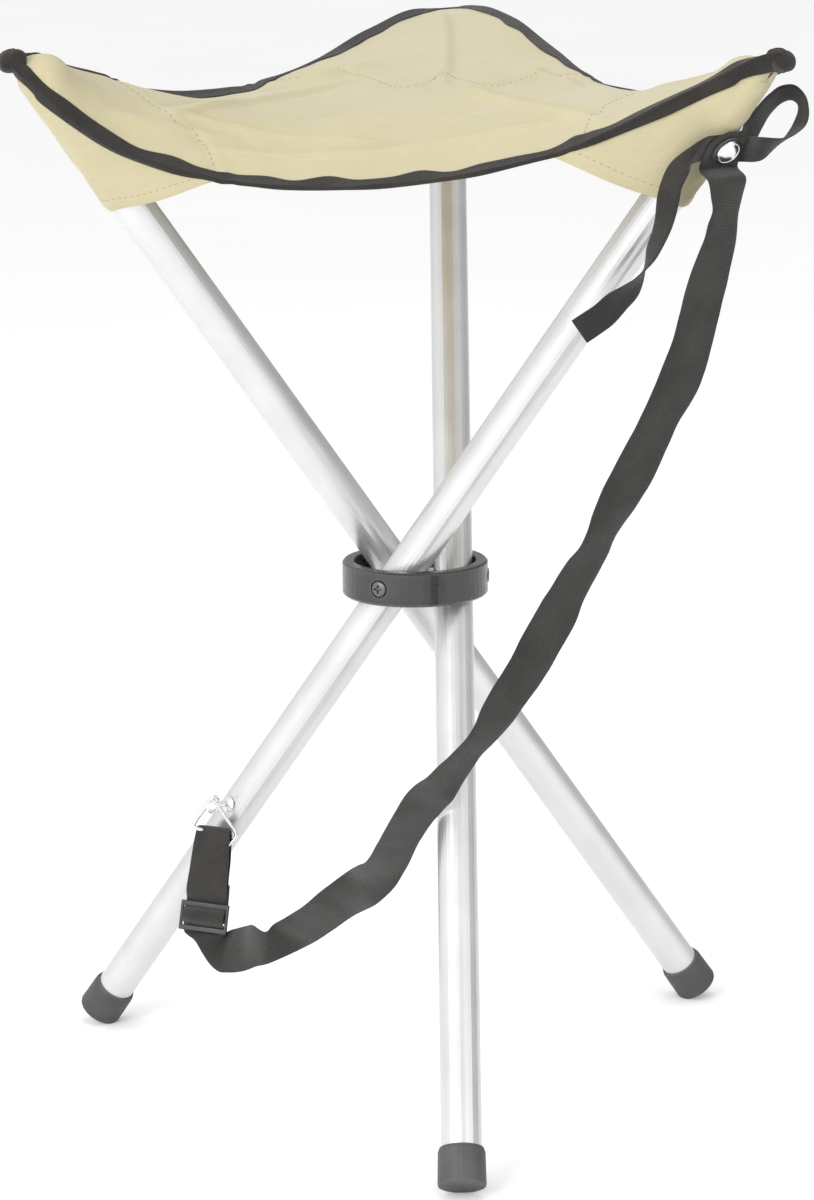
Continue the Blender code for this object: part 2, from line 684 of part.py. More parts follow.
def main():
    clear_scene()
    root = empty("stool", Matrix.Translation((0, 0, hub_height())))
    add_hub(root)
    points = seat_surface()
    add_seat(points, root)
    for first, second in EDGE_DROPS:
        add_binding(first, second, points, root)
    for corner in HEADINGS:
        pivot, tube = add_leg(corner, root)
        pocket = add_pocket(corner, pivot)
        if corner == "right":
            add_straps(pivot, pocket, tube)
            add_slider(pivot)
            add_triangle(pivot)
    centre_on_origin(root)


main()
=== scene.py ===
import json
import math

import bmesh
import bpy
import numpy as np
from mathutils import Matrix, Vector

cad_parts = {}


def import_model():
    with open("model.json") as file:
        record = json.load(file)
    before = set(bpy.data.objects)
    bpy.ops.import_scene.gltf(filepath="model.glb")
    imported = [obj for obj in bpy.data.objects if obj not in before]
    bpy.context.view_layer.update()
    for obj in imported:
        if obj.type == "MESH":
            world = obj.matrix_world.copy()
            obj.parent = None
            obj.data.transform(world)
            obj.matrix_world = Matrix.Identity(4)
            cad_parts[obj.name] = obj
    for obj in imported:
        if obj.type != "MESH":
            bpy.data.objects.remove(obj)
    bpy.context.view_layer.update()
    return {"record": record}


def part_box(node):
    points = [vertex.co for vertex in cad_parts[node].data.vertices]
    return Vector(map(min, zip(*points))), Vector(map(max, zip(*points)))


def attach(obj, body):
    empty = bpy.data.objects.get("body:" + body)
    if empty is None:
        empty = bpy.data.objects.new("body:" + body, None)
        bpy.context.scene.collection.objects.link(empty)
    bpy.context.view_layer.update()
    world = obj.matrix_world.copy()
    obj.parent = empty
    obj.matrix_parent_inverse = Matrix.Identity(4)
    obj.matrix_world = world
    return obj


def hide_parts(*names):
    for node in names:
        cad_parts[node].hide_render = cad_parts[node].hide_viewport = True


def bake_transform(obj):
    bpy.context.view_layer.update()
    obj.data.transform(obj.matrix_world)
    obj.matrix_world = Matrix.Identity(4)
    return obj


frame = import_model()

MM = 0.001
LOW, HIGH = (Vector(corner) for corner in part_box("hub_ring"))
HUB = (LOW + HIGH) / 2
JOINTS = {j["child"].removeprefix("leg_"): j for j in frame["record"]["behaviour"]["joints"]}
TILT = math.radians(JOINTS["right"]["range_deg"][1])
CORNERS = ("left", "right", "back")
EDGE_END = {"left": "right", "right": "back", "back": "left"}  # each edge's far corner, by its first
UPPER = 362  # mm from a pivot to the top of the leg
FLAT_UP = Vector((0, 0, 1))


def world(point):
    """A point in metres from one in millimetres from the hub's middle."""
    return HUB + Vector(point) * MM


class Leg:
    """A leg's pivot and directions in millimetres from the hub's middle."""

    def __init__(self, corner):
        joint = JOINTS[corner]
        self.pivot = (Vector(joint["pos_m"]) - HUB) / MM
        self.out = Vector(joint["axis"]).normalized()
        self.away = Vector((-self.out.y, self.out.x, 0))
        self.along = math.sin(TILT) * self.away + math.cos(TILT) * FLAT_UP
        self.under = math.cos(TILT) * self.away - math.sin(TILT) * FLAT_UP

    def at(self, station, out=0.0, under=0.0):
        station, out, under = float(station), float(out), float(under)
        return self.pivot + station * self.along + out * self.out + under * self.under


LEGS = {corner: Leg(corner) for corner in CORNERS}


# ---------------------------------------------------------------- camera

CAMERA_RISE = math.radians(12.486)
CAMERA_ROLL = math.radians(-0.4907)
CAMERA_LENS = 74.193  # mm, on a sensor 24 mm high
CAMERA_BACK, CAMERA_ASIDE, CAMERA_DOWN = 2.1114, 0.00465, 0.01394  # metres from the hub's middle


def make_camera():
    rise, roll = CAMERA_RISE, CAMERA_ROLL
    ahead = Vector((0, math.cos(rise), -math.sin(rise)))
    up = Vector((0, math.sin(rise), math.cos(rise)))
    right = Vector((1, 0, 0))
    turned_right = math.cos(roll) * right + math.sin(roll) * up
    turned_up = math.cos(roll) * up - math.sin(roll) * right
    data = bpy.data.cameras.new("camera")
    data.sensor_fit = "VERTICAL"
    data.sensor_height = 24
    data.lens = CAMERA_LENS
    data.clip_end = 30
    camera = bpy.data.objects.new("camera", data)
    bpy.context.scene.collection.objects.link(camera)
    place = Matrix((turned_right, turned_up, -ahead)).transposed().to_4x4()
    place.translation = (
        HUB - CAMERA_BACK * ahead - CAMERA_ASIDE * turned_right - CAMERA_DOWN * turned_up
    )
    camera.matrix_world = place
    bpy.context.scene.camera = camera


# ---------------------------------------------------------------- node materials

class Graph:
    """A material's node tree, with short calls to make and join nodes."""

    def __init__(self, name):
        self.material = bpy.data.materials.new(name)
        self.material.use_nodes = True
        self.tree = self.material.node_tree
        self.shader = self.tree.nodes["Principled BSDF"]

    def node(self, kind, inputs=None, **settings):
        made = self.tree.nodes.new(kind)
        for key, value in settings.items():
            setattr(made, key, value)
        for key, value in (inputs or {}).items():
            self.put(made.inputs[key], value)
        return made

    def put(self, socket, value):
        if isinstance(value, bpy.types.NodeSocket):
            self.tree.links.new(value, socket)
        else:
            socket.default_value = value

    def set(self, **inputs):
        for key, value in inputs.items():
            self.put(self.shader.inputs[key.replace("_", " ")], value)

    def math(self, operation, a, b=0.0):
        found = self.node("ShaderNodeMath", {0: a, 1: b}, operation=operation)
        return found.outputs[0]

    def coords(self, kind="Object"):
        return self.node("ShaderNodeTexCoord").outputs[kind]

    def scaled(self, vector, scale):
        found = self.node("ShaderNodeMapping", {"Vector": vector, "Scale": scale})
        return found.outputs[0]

    def noise(self, vector, scale, detail=4.0, roughness=0.55):
        inputs = {"Vector": vector, "Scale": scale, "Detail": detail, "Roughness": roughness}
        return self.node("ShaderNodeTexNoise", inputs).outputs["Fac"]

    def wave(self, vector, scale, axis, profile="SIN"):
        found = self.node(
            "ShaderNodeTexWave", {"Vector": vector, "Scale": scale, "Distortion": 0.0},
            wave_type="BANDS", bands_direction=axis, wave_profile=profile,
        )
        return found.outputs["Fac"]

    def ramp(self, value, stops):
        found = self.node("ShaderNodeValToRGB", {"Fac": value})
        line = found.color_ramp
        while len(line.elements) < len(stops):
            line.elements.new(0.5)
        for element, (place, colour) in zip(line.elements, stops):
            element.position = place
            element.color = (*colour, 1) if len(colour) == 3 else colour
        return found.outputs["Color"]

    def mix(self, share, a, b, blend="MIX"):
        found = self.node("ShaderNodeMix", data_type="RGBA", blend_type=blend)
        self.put(found.inputs[0], share)
        for socket, value in ((found.inputs[6], a), (found.inputs[7], b)):
            if isinstance(value, tuple):
                value = (*value, 1)
            self.put(socket, value)
        return found.outputs[2]

    def bump(self, height, strength, distance, after=None):
        inputs = {"Height": height, "Strength": strength, "Distance": distance}
        if after is not None:
            inputs["Normal"] = after
        return self.node("ShaderNodeBump", inputs).outputs["Normal"]

    def span(self, value, low, high, new_low, new_high):
        inputs = {0: value, 1: low, 2: high, 3: new_low, 4: new_high}
        return self.node("ShaderNodeMapRange", inputs).outputs[0]


CLOTH_BANDS = 320  # the wave scale of the seat cloth's weave


def cloth_material():
    """Close plain-woven polyester, in UV metres."""
    g = Graph("seat_cloth")
    uv = g.coords("UV")
    warp = g.wave(uv, CLOTH_BANDS, "X")
    weft = g.wave(uv, CLOTH_BANDS, "Y")
    weave = g.math("MULTIPLY", warp, weft)
    slub = g.noise(g.scaled(uv, (90, 900, 1)), 1.0, 3.0)
    cloud = g.noise(uv, 14.0, 5.0)
    grain = g.noise(g.coords(), 900.0, 2.0)
    base = g.ramp(cloud, ((0.3, (0.478, 0.427, 0.27)), (0.7, (0.53, 0.474, 0.305))))
    base = g.mix(g.span(slub, 0.3, 0.7, 0.0, 0.3), base, (0.41, 0.365, 0.225))
    base = g.mix(g.span(weave, 0.0, 1.0, 0.10, 0.0), base, (0.36, 0.33, 0.205))
    g.set(Base_Color=base, Roughness=g.span(grain, 0.3, 0.7, 0.78, 0.92))
    g.set(Sheen_Weight=0.25, Sheen_Roughness=0.5, Specular_IOR_Level=0.25)
    crumple = g.noise(g.coords(), 38.0, 5.0, 0.6)
    first = g.bump(crumple, 0.35, 0.0022)
    g.set(Normal=g.bump(g.math("ADD", weave, g.math("MULTIPLY", slub, 0.6)), 0.35, 0.00025, first))
    return g.material


def webbing_material(name, light, dark, rib):
    """Woven tape in UV metres: u runs across it and v along it."""
    g = Graph(name)
    uv = g.coords("UV")
    cross = g.wave(uv, rib, "Y")
    lengthwise = g.wave(uv, rib * 0.62, "X")
    weave = g.math("MULTIPLY", cross, g.math("ADD", g.math("MULTIPLY", lengthwise, 0.5), 0.5))
    fuzz = g.noise(g.coords(), 700.0, 3.0)
    cloud = g.noise(g.coords(), 45.0, 4.0)
    base = g.mix(g.span(cloud, 0.35, 0.7, 0.0, 1.0), dark, light)
    base = g.mix(g.span(weave, 0.0, 0.6, 0.55, 0.0), base, tuple(0.35 * c for c in dark))
    g.set(Base_Color=base, Roughness=g.span(fuzz, 0.3, 0.7, 0.7, 0.9))
    g.set(Sheen_Weight=0.2, Sheen_Roughness=0.4, Specular_IOR_Level=0.3)
    first = g.bump(fuzz, 0.3, 0.0004)
    g.set(Normal=g.bump(weave, 0.7, 0.0005, first))
    return g.material


def tube_material():
    """Satin anodised aluminium with drawing lines along the tube and faint handling marks."""
    g = Graph("satin_aluminium")
    at = g.coords()
    smudge = g.noise(at, 22.0, 5.0)
    grain = g.noise(at, 420.0, 3.0)
    scratch = g.noise(g.scaled(at, (300, 300, 60)), 1.0, 2.0)
    base = g.ramp(smudge, ((0.3, (0.64, 0.645, 0.65)), (0.75, (0.73, 0.73, 0.73))))
    base = g.mix(g.span(scratch, 0.66, 0.8, 0.0, 0.12), base, (0.46, 0.46, 0.47))
    g.set(Base_Color=base, Metallic=0.78, Specular_IOR_Level=0.6)
    rough = g.math("ADD", g.span(smudge, 0.3, 0.7, 0.30, 0.38), g.span(grain, 0.3, 0.7, -0.02, 0.03))
    g.set(Roughness=rough, Normal=g.bump(grain, 0.02, 0.00005))
    return g.material


def moulded_material(name, colour, rough, coat=0.0, scale=380.0, depth=0.00012):
    """Moulded plastic or rubber with a fine spark texture and lighter edges."""
    g = Graph(name)
    at = g.coords()
    cloud = g.noise(at, 30.0, 4.0)
    spark = g.noise(at, scale, 4.0, 0.65)
    lighter = tuple(min(1.0, 1.55 * c + 0.012) for c in colour)
    base = g.ramp(cloud, ((0.3, colour), (0.75, lighter)))
    # Every edge the bevel finds is made lighter by the same amount, mixed towards the colour plus 0.16.
    edge = g.node("ShaderNodeBevel", {"Radius": 0.0012}, samples=4).outputs[0]
    flat = g.node("ShaderNodeNewGeometry").outputs["Normal"]
    edge_lightening = g.node("ShaderNodeVectorMath", {0: edge, 1: flat}, operation="DOT_PRODUCT").outputs["Value"]
    edge_lightening = g.span(edge_lightening, 0.80, 0.99, 0.55, 0.0)
    base = g.mix(edge_lightening, base, tuple(0.16 + c for c in colour))
    g.set(Base_Color=base, Roughness=g.span(spark, 0.3, 0.7, rough - 0.07, rough + 0.08))
    g.set(Coat_Weight=coat, Coat_Roughness=0.12, Normal=g.bump(spark, 0.35, depth))
    return g.material


def plated_material(name="bright_plating", tone=0.86, rough=0.14):
    """Zinc plating or burnished steel with fine brushing."""
    g = Graph(name)
    at = g.coords()
    cloud = g.noise(at, 160.0, 4.0)
    fine = g.noise(g.scaled(at, (1500, 200, 1500)), 1.0, 2.0)
    base = g.ramp(cloud, ((0.3, (0.82 * tone,) * 3), (0.75, (tone, tone, 0.99 * tone))))
    g.set(Base_Color=base, Metallic=1.0, Roughness=g.span(fine, 0.3, 0.7, rough, rough + 0.16))
    g.set(Normal=g.bump(fine, 0.08, 0.0001))
    return g.material


def thread_material():
    g = Graph("seat_thread")
    twist = g.noise(g.coords(), 1800.0, 2.0)
    base = g.ramp(twist, ((0.3, (0.25, 0.225, 0.14)), (0.7, (0.38, 0.345, 0.22))))
    g.set(Base_Color=base, Roughness=0.7, Normal=g.bump(twist, 0.4, 0.0002))
    return g.material


# ---------------------------------------------------------------- mesh helpers

def add_mesh(name, points, faces, material, uvs=None):
    """An object from points in millimetres from the hub's middle."""
    mesh = bpy.data.meshes.new(name)
    mesh.from_pydata([tuple(world(p)) for p in points], [], faces)
    if uvs is not None:
        layer = mesh.uv_layers.new(name="UVMap")
        corner_of = np.empty(len(mesh.loops), np.int32)
        mesh.loops.foreach_get("vertex_index", corner_of)
        layer.uv.foreach_set("vector", np.array(uvs, np.float32)[corner_of].ravel())
    mesh.materials.append(material)
    mesh.shade_smooth()
    mesh.update()
    made = bpy.data.objects.new(name, mesh)
    bpy.context.scene.collection.objects.link(made)
    return made


def turn_faces_outward(piece, merge=0.0):
    """Turns a piece's faces outward, after joining points closer than `merge` metres."""
    bm = bmesh.new()
    bm.from_mesh(piece.data)
    if merge:
        bmesh.ops.remove_doubles(bm, verts=bm.verts, dist=merge)
    bmesh.ops.recalc_face_normals(bm, faces=bm.faces)
    bm.to_mesh(piece.data)
    bm.free()


def ring_faces(count, size, first=0):
    """Faces between `count` rings of `size` points, numbered from `first`."""
    faces = []
    for i in range(count - 1):
        for k in range(size):
            a, b = first + i * size + k, first + i * size + (k + 1) % size
            faces.append((a, b, b + size, a + size))
    return faces


def end_faces(count, size, first=0):
    last = first + (count - 1) * size
    return [tuple(range(first, first + size))[::-1], tuple(range(last, last + size))]


def smoothstep(t):
    return t * t * (3 - 2 * t)


def toward_ends(share):
    """Shares of an edge moved towards both ends, where the cloth bends the most."""
    return share - 0.45 * np.sin(2 * np.pi * share) / (2 * np.pi)


def run_lengths(points):
    """The length along a line of points, at each point."""
    return np.r_[0, np.cumsum(np.linalg.norm(np.diff(points, axis=0), axis=1))]


def curve_values(knots, at):
    """A smooth curve through (position, value) knots, at each position in `at`."""
    x = np.array([k[0] for k in knots], float)
    y = np.array([k[1] for k in knots], float)
    slope = np.gradient(y, x)
    at = np.atleast_1d(np.asarray(at, float))
    n = np.clip(np.searchsorted(x, at, side="right") - 1, 0, len(x) - 2)
    step = x[n + 1] - x[n]
    t = (at - x[n]) / step
    rise = (2 * t**3 - 3 * t**2 + 1) * y[n] + (3 * t**2 - 2 * t**3) * y[n + 1]
    return rise + step * ((t**3 - 2 * t**2 + t) * slope[n] + (t**3 - t**2) * slope[n + 1])


def resample(rows, spacing):
    """Rows of numbers, the first three a point, spread evenly along a smooth curve."""
    rows = np.array(rows, float)
    steps = np.linalg.norm(np.diff(rows[:, :3], axis=0), axis=1)
    lengths = np.r_[0, np.cumsum(np.maximum(steps, 1e-6))]
    at = np.linspace(0, lengths[-1], int(lengths[-1] / spacing) + 2)
    return np.stack([curve_values(list(zip(lengths, column)), at) for column in rows.T], axis=1), at


def unit(vectors):
    return vectors / np.maximum(np.linalg.norm(vectors, axis=-1, keepdims=True), 1e-9)


def rounded(distance, radius):
    """How wide a strap is, as a share, at a distance from its rounded end."""
    if distance >= radius:
        return 1.0
    return math.sqrt(max(0.03, 1 - ((radius - distance) / radius) ** 2))


def tape(name, left, right, thickness, material, across, crown, first_radius=0, last_radius=0):
    """A flat woven strap between two matching rails of points, closed all round."""
    left, right = np.array(left, float), np.array(right, float)
    middle = (left + right) / 2
    ahead = unit(np.gradient(middle, axis=0))
    side = unit(right - left)
    normal = unit(np.cross(side, ahead))
    wide = np.linalg.norm(right - left, axis=1)
    along = run_lengths(middle)
    profile = [-1 + 2 * k / (across - 1) for k in range(across)]
    profile = [(x, 1.0 if abs(x) < 0.99 else 0.35) for x in profile]
    ring = profile + [(x, -y) for x, y in reversed(profile)]
    points, uvs = [], []
    for i, place in enumerate(middle):
        shrink = min(rounded(along[i], first_radius), rounded(along[-1] - along[i], last_radius))
        for x, y in ring:
            off = wide[i] / 2 * x * shrink
            lift = y * thickness / 2 + crown * (1 - x * x)
            points.append(place + side[i] * off + normal[i] * lift)
            uvs.append((off * MM, along[i] * MM))
    faces = ring_faces(len(middle), len(ring)) + end_faces(len(middle), len(ring))
    made = add_mesh(name, points, faces, material, uvs)
    made.data.set_sharp_from_angle(angle=math.radians(60))
    return made


# ---------------------------------------------------------------- seat surface

# How far each edge hangs below its corners: (share of the edge, mm).
DROPS = {
    ("left", "right"): (
        (0, 0), (0.03, 11.5), (0.06, 24.5), (0.12, 44), (0.2, 59.5), (0.3, 68.5), (0.4, 71), (0.52, 68.5),
        (0.63, 61), (0.74, 48), (0.85, 26.5), (0.93, 10), (0.97, 2.5), (1, 0),
    ),
    ("right", "back"): (
        (0, 0), (0.09, 11), (0.2, 24), (0.31, 31), (0.4, 31), (0.51, 25.5), (0.61, 14.5), (0.74, 0.5),
        (0.84, -4), (0.93, -3.5), (1, 0),
    ),
    ("back", "left"): (
        (0, 0), (0.1, -1.5), (0.22, 7), (0.4, 25), (0.58, 31), (0.75, 25.5), (0.89, 10), (0.95, 4), (1, 0),
    ),
}
GRID = 180
CELL = 343 / GRID  # mm between rows of the grid
CLEAR_RADIUS = 12.9  # of the cloth over a tube's end
CLOTH_HALF = 0.45  # half the cloth's thickness
NOSE_HEIGHT = 303.2  # mm from the hub's middle to the seat's corners
NOSE_RADIUS = {"left": 235.5, "right": 239, "back": 235}


def nose(corner):
    flat = LEGS[corner].at(UPPER)
    flat.z = 0
    return NOSE_RADIUS[corner] * flat.normalized() + Vector((0, 0, NOSE_HEIGHT))


def edge_curve(first, second, share):
    """Points of the seat's edge at an array of shares of the way between two corners."""
    a, b = np.array(nose(first)), np.array(nose(second))
    inward = np.array([-(b - a)[1], (b - a)[0], 0])
    inward /= np.linalg.norm(inward)
    if inward @ a > 0:
        inward = -inward
    share = np.asarray(share, float)
    bow = 9 * np.sin(np.pi * share)
    for near in (share, 1 - share):
        bow = bow - 6 * (1 - np.exp(-near / 0.015)) * np.exp(-near / 0.07)
    points = a + share[:, None] * (b - a) + bow[:, None] * inward
    points[:, 2] -= curve_values(DROPS[first, second], share)
    return points


def over_tubes(flat):
    """The height at which cloth lies on the tube ends above each point of the plan."""
    lowest = np.full(len(flat), -1e3)
    for leg in LEGS.values():
        for back in np.arange(5, 90, 1.5):
            ball = np.array(leg.at(UPPER - back))
            aside = np.hypot(*(flat - ball[:2]).T)
            over = aside < CLEAR_RADIUS
            rise = np.sqrt(np.maximum(CLEAR_RADIUS**2 - aside**2, 0))
            lowest[over] = np.maximum(lowest[over], (ball[2] + rise)[over])
    return lowest


def solve_seat():
    """The seat's skin on a triangular grid, coarse to fine: every inner point is the mean of its
    neighbours, except where the tube ends hold it up."""
    grid = None
    for n in (12, 33, 66, GRID):
        i, j = np.meshgrid(np.arange(n + 1), np.arange(n + 1), indexing="ij")
        inside = i + j <= n
        share = toward_ends(np.arange(n + 1) / n)
        fresh = np.zeros((n + 1, n + 1, 3))
        if grid is not None:
            m = len(grid) - 1
            x, y = i * m / n, j * m / n
            a, b = np.minimum(x.astype(int), m - 1), np.minimum(y.astype(int), m - 1)
            p, q = (x - a)[..., None], (y - b)[..., None]
            upper = (p + q > 1)
            low = grid[a, b] * (1 - p - q) + grid[a + 1, b] * p + grid[a, b + 1] * q
            high = grid[a + 1, b + 1] * (p + q - 1) + grid[a + 1, b] * (1 - q) + grid[a, b + 1] * (1 - p)
            fresh = np.where(upper, high, low)
        else:
            fresh[..., 2] = 270
        k = np.arange(n + 1)
        fresh[k, 0] = edge_curve("left", "right", share)
        fresh[n - k, k] = edge_curve("right", "back", share)
        fresh[0, n - k] = edge_curve("back", "left", share)
        inner = (i > 0) & (j > 0) & (i + j < n)
        rows, columns = np.nonzero(inner)
        lowest = over_tubes(fresh[rows, columns, :2])
        around = ((1, 0), (-1, 0), (0, 1), (0, -1), (1, -1), (-1, 1))
        for step in range(400 if n < 100 else 260):
            mean = sum(fresh[rows + a, columns + b] for a, b in around) / 6
            if step % 40 == 39:
                lowest = over_tubes(mean[:, :2])
            mean[:, 2] = np.maximum(mean[:, 2], lowest)
            fresh[rows, columns] = mean
        grid = np.where(inside[..., None], fresh, 0)
    return grid


def grid_faces(n):
    faces = []
    for i in range(n):
        for j in range(n - i):
            faces.append(((i, j), (i + 1, j), (i, j + 1)))
            if i + j < n - 1:
                faces.append(((i + 1, j), (i + 1, j + 1), (i, j + 1)))
    return faces


def grid_normals(grid, n):
    total = np.zeros_like(grid)
    faces = np.array(grid_faces(n))
    a, b, c = (grid[faces[:, k, 0], faces[:, k, 1]] for k in range(3))
    normal = np.cross(b - a, c - a)
    for k in range(3):
        np.add.at(total, (faces[:, k, 0], faces[:, k, 1]), normal)
    total = unit(total)
    return np.where(total[..., 2:3] < 0, -total, total)


RIDGES = (
    # plan start, plan end, height, half width, all mm
    ((-140, -75), (-25, 50), 2.6, 3.6),
    ((-118, -84), (30, -84), 2.4, 3.2),
    ((-140, -58), (10, -76), 2.2, 4.0),
    ((14, 22), (108, -122), 3.0, 4.6),
    ((17, 222), (15, -5), 1.5, 4.2),
    ((-20, -79), (90, -87), 2.2, 3.4),
    ((-165, -88), (-90, -70), 2.0, 3.6),
    ((-95, 25), (-12, 78), 1.8, 5.0),
    ((120, -60), (185, -128), 2.0, 4.0),
    ((55, 55), (95, -5), 1.8, 5.0),
    ((-60, -40), (50, -52), 1.6, 6.0),
)


def crease(grid, normals):
    """The seat's folds: long soft ridges between the corners, and a fine uneven slackness."""
    flat = grid[..., :2]
    rise = np.zeros(grid.shape[:2])
    for start, end, height, wide in RIDGES:
        start, end = np.array(start, float), np.array(end, float)
        line = end - start
        long = np.linalg.norm(line)
        line /= long
        away = flat - start
        t = away @ line / long
        off = away[..., 0] * -line[1] + away[..., 1] * line[0]
        off = off - 4 * np.sin(np.pi * np.clip(t, 0, 1))
        fade = smoothstep(np.clip(np.minimum(t, 1 - t) / 0.25, 0, 1))
        ridge, trough = np.exp(-((off / wide) ** 2)), np.exp(-((off / wide - 1.8) ** 2))
        rise += height * fade * (ridge - 0.5 * trough)
    x, y = flat[..., 0], flat[..., 1]
    rise = 1.25 * rise
    rise += 0.45 * np.sin(x / 17 + 1.3 * np.sin(y / 23)) * np.sin(y / 19 + 0.8)
    rise += 0.25 * np.sin(x / 6.1 + 2 * np.sin(y / 11)) * np.sin(y / 7.3 + np.sin(x / 13))
    n = len(grid) - 1
    i, j = np.meshgrid(np.arange(n + 1), np.arange(n + 1), indexing="ij")
    k = np.maximum(n - i - j, 0)
    edge = CELL * np.minimum.reduce([i, j, k])
    rise *= np.clip(edge / 15, 0, 1)
    for inward, along, other, dips in (
        (i, j, k, LIPS["back"]), (k, j, i, LIPS["right"]), (j, i, k, LIPS["left"]),
    ):
        share = toward_ends(along / np.maximum(n - inward, 1))
        dip = curve_values(dips, np.clip(share, 0, 1).ravel()).reshape(share.shape)
        mm = CELL * inward
        corner_fade = np.clip(CELL * np.minimum(along, other) / 25, 0, 1)
        rise -= dip * (1 - np.exp(-mm / 7)) * np.exp(-mm / 30) * corner_fade
    for corner, near in (("left", k), ("right", i), ("back", j)):
        across = HEM_ACROSS[corner][0] * x + HEM_ACROSS[corner][1] * y
        past = CELL * near - hem_distance(corner, across)
        rise += 0.8 * smoothstep(np.clip(past / 3 + 0.5, 0, 1))
        pucker = np.exp(-((past / 9) ** 2))
        rise += 0.6 * pucker * np.sin(across / 4.5) - 0.9 * np.exp(-(((past - 5) / 2.6) ** 2))
    return grid + rise[..., None] * normals


# How far the skin sinks just inside each edge, from one corner to the next.
LIPS = {
    "back": (
        (0, -2.4), (0.1, -3.0), (0.2, -2.6), (0.26, 3.5), (0.32, 6.5), (0.43, 5.5), (0.5, 1.5),
        (0.56, -2.4), (0.63, -2.0), (0.69, 1.6), (0.8, 2.2), (0.93, 1.5), (1, 0.5),
    ),
    "right": ((0, 0.3), (0.1, -1.5), (0.4, -2.2), (0.53, -1.6), (0.6, 0.6), (0.7, 0.7), (0.9, 0.5), (1, 0.4)),
    "left": (
        (0, 0.6), (0.25, 0.8), (0.34, 2.0), (0.39, -0.6), (0.46, 1.6), (0.53, 0.2), (0.6, 1.8),
        (0.66, 0.2), (0.75, 0.6), (1, 0.6),
    ),
}
# Where each hem lies, as a share of the way to its corner, the plan direction across its corner,
# and how far it wanders towards the corner: (mm across, mm).
HEM = {"left": 0.665, "right": 0.645, "back": 0.405}
HEM_ACROSS = {"left": (-0.5, 0.86), "right": (0.5, 0.86), "back": (1, 0)}
HEM_BENDS = {
    "left": ((-200, -5), (-31, -5), (-14, -3), (9, 6), (20, 12), (200, 14)),
    "right": ((-200, 4), (-60, 4), (0, -1), (60, 4), (200, 4)),
    "back": (
        (-200, 26), (-60, 26), (-38, 24), (-26, 13), (-14, -4), (-1, -11), (10, -6), (19, 12), (28, 3),
        (39, -11), (55, -3), (73, 14), (95, 20), (200, 22),
    ),
}


def hem_distance(corner, across):
    """How far a hem lies from the side opposite its corner, in mm, at each place across it."""
    across = np.asarray(across, float)
    bend = curve_values(HEM_BENDS[corner], np.clip(across, -199, 199).ravel()).reshape(across.shape)
    return CELL * GRID * HEM[corner] + bend + 0.8 * np.sin(across / 13) + 0.5 * np.sin(across / 5.5)


def sampled(values, i, j):
    """The grid's values between its points."""
    a, b = min(int(i), GRID - 1), min(int(j), GRID - 1)
    p, q = i - a, j - b
    if p + q > 1:
        return (values[a + 1, b + 1] * (p + q - 1) + values[a + 1, b] * (1 - q)
                + values[a, b + 1] * (1 - p))
    return values[a, b] * (1 - p - q) + values[a + 1, b] * p + values[a, b + 1] * q


def hem_line(grid, normals, corner):
    """Points and normals of the skin along the stitched line across one corner."""
    n = GRID
    weights = HEM_ACROSS[corner]
    place = {
        "left": lambda near, k: (k, n - near - k), "right": lambda near, k: (near, k),
        "back": lambda near, k: (k, near),
    }[corner]
    points, ups = [], []
    for share in np.linspace(0.05, 0.95, 90):
        near = HEM[corner] * n
        for _ in range(6):
            point = sampled(grid, *place(near, share * (n - near)))
            found = float(hem_distance(corner, weights[0] * point[0] + weights[1] * point[1]))
            near += 0.6 * ((found + 5) / CELL - near)
        points.append(sampled(grid, *place(near, share * (n - near))))
        ups.append(sampled(normals, *place(near, share * (n - near))))
    return points, ups


def build_seat(cloth):
    n = GRID
    grid = solve_seat()
    grid = crease(grid, grid_normals(grid, n))
    normals = grid_normals(grid, n)
    faces = grid_faces(n)
    parts = {"left": [], "right": [], "back": []}
    for face in faces:
        i, j = (sum(v[0] for v in face) / 3, sum(v[1] for v in face) / 3)
        near = {"left": n - i - j, "right": i, "back": j}
        parts[max(near, key=near.get)].append(face)
    pieces = {}
    for corner, own in parts.items():
        keys = sorted({v for face in own for v in face})
        index = {key: k for k, key in enumerate(keys)}
        count = len(keys)
        points, uvs, shading = [], [], []
        for side in (CLOTH_HALF, -CLOTH_HALF):
            for key in keys:
                points.append(grid[key] + side * normals[key])
                uvs.append((grid[key][0] * MM, grid[key][1] * MM))
                shading.append(normals[key] * np.sign(side))
        rim = {}
        built = []
        for face in own:
            a, b, c = (index[v] for v in face)
            built.append((a, b, c))
            built.append((c + count, b + count, a + count))
            for p, q in ((a, b), (b, c), (c, a)):
                rim[(p, q)] = rim.get((q, p), 0) == 0
                if (q, p) in rim:
                    rim[(p, q)] = rim[(q, p)] = False
        built += [(q, p, p + count, q + count) for (p, q), outer in rim.items() if outer]
        piece = add_mesh(f"seat_cloth_{corner}", points, built, cloth, uvs)
        piece.data.normals_split_custom_set_from_vertices([tuple(v) for v in shading])
        pieces[corner] = piece
    return grid, normals, pieces


def with_leg(piece):
    """Bakes a piece's transform into its mesh, leaving it where it stands."""
    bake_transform(piece)


# ---------------------------------------------------------------- edge tape

def inward_line(grid, edge, i):
    """The skin's points straight in from one point of an edge."""
    n = GRID
    place = {
        "left": lambda a, b: (a, b),
        "right": lambda a, b: (n - a - b, a),
        "back": lambda a, b: (b, n - a - b),
    }[edge]
    line = []
    for k in range(0, 30):
        low, high = i - (k + 1) // 2, i - k // 2
        if low < 0 or high + k > n or low + k > n:
            break
        line.append((grid[place(low, k)] + grid[place(high, k)]) / 2)
    return line


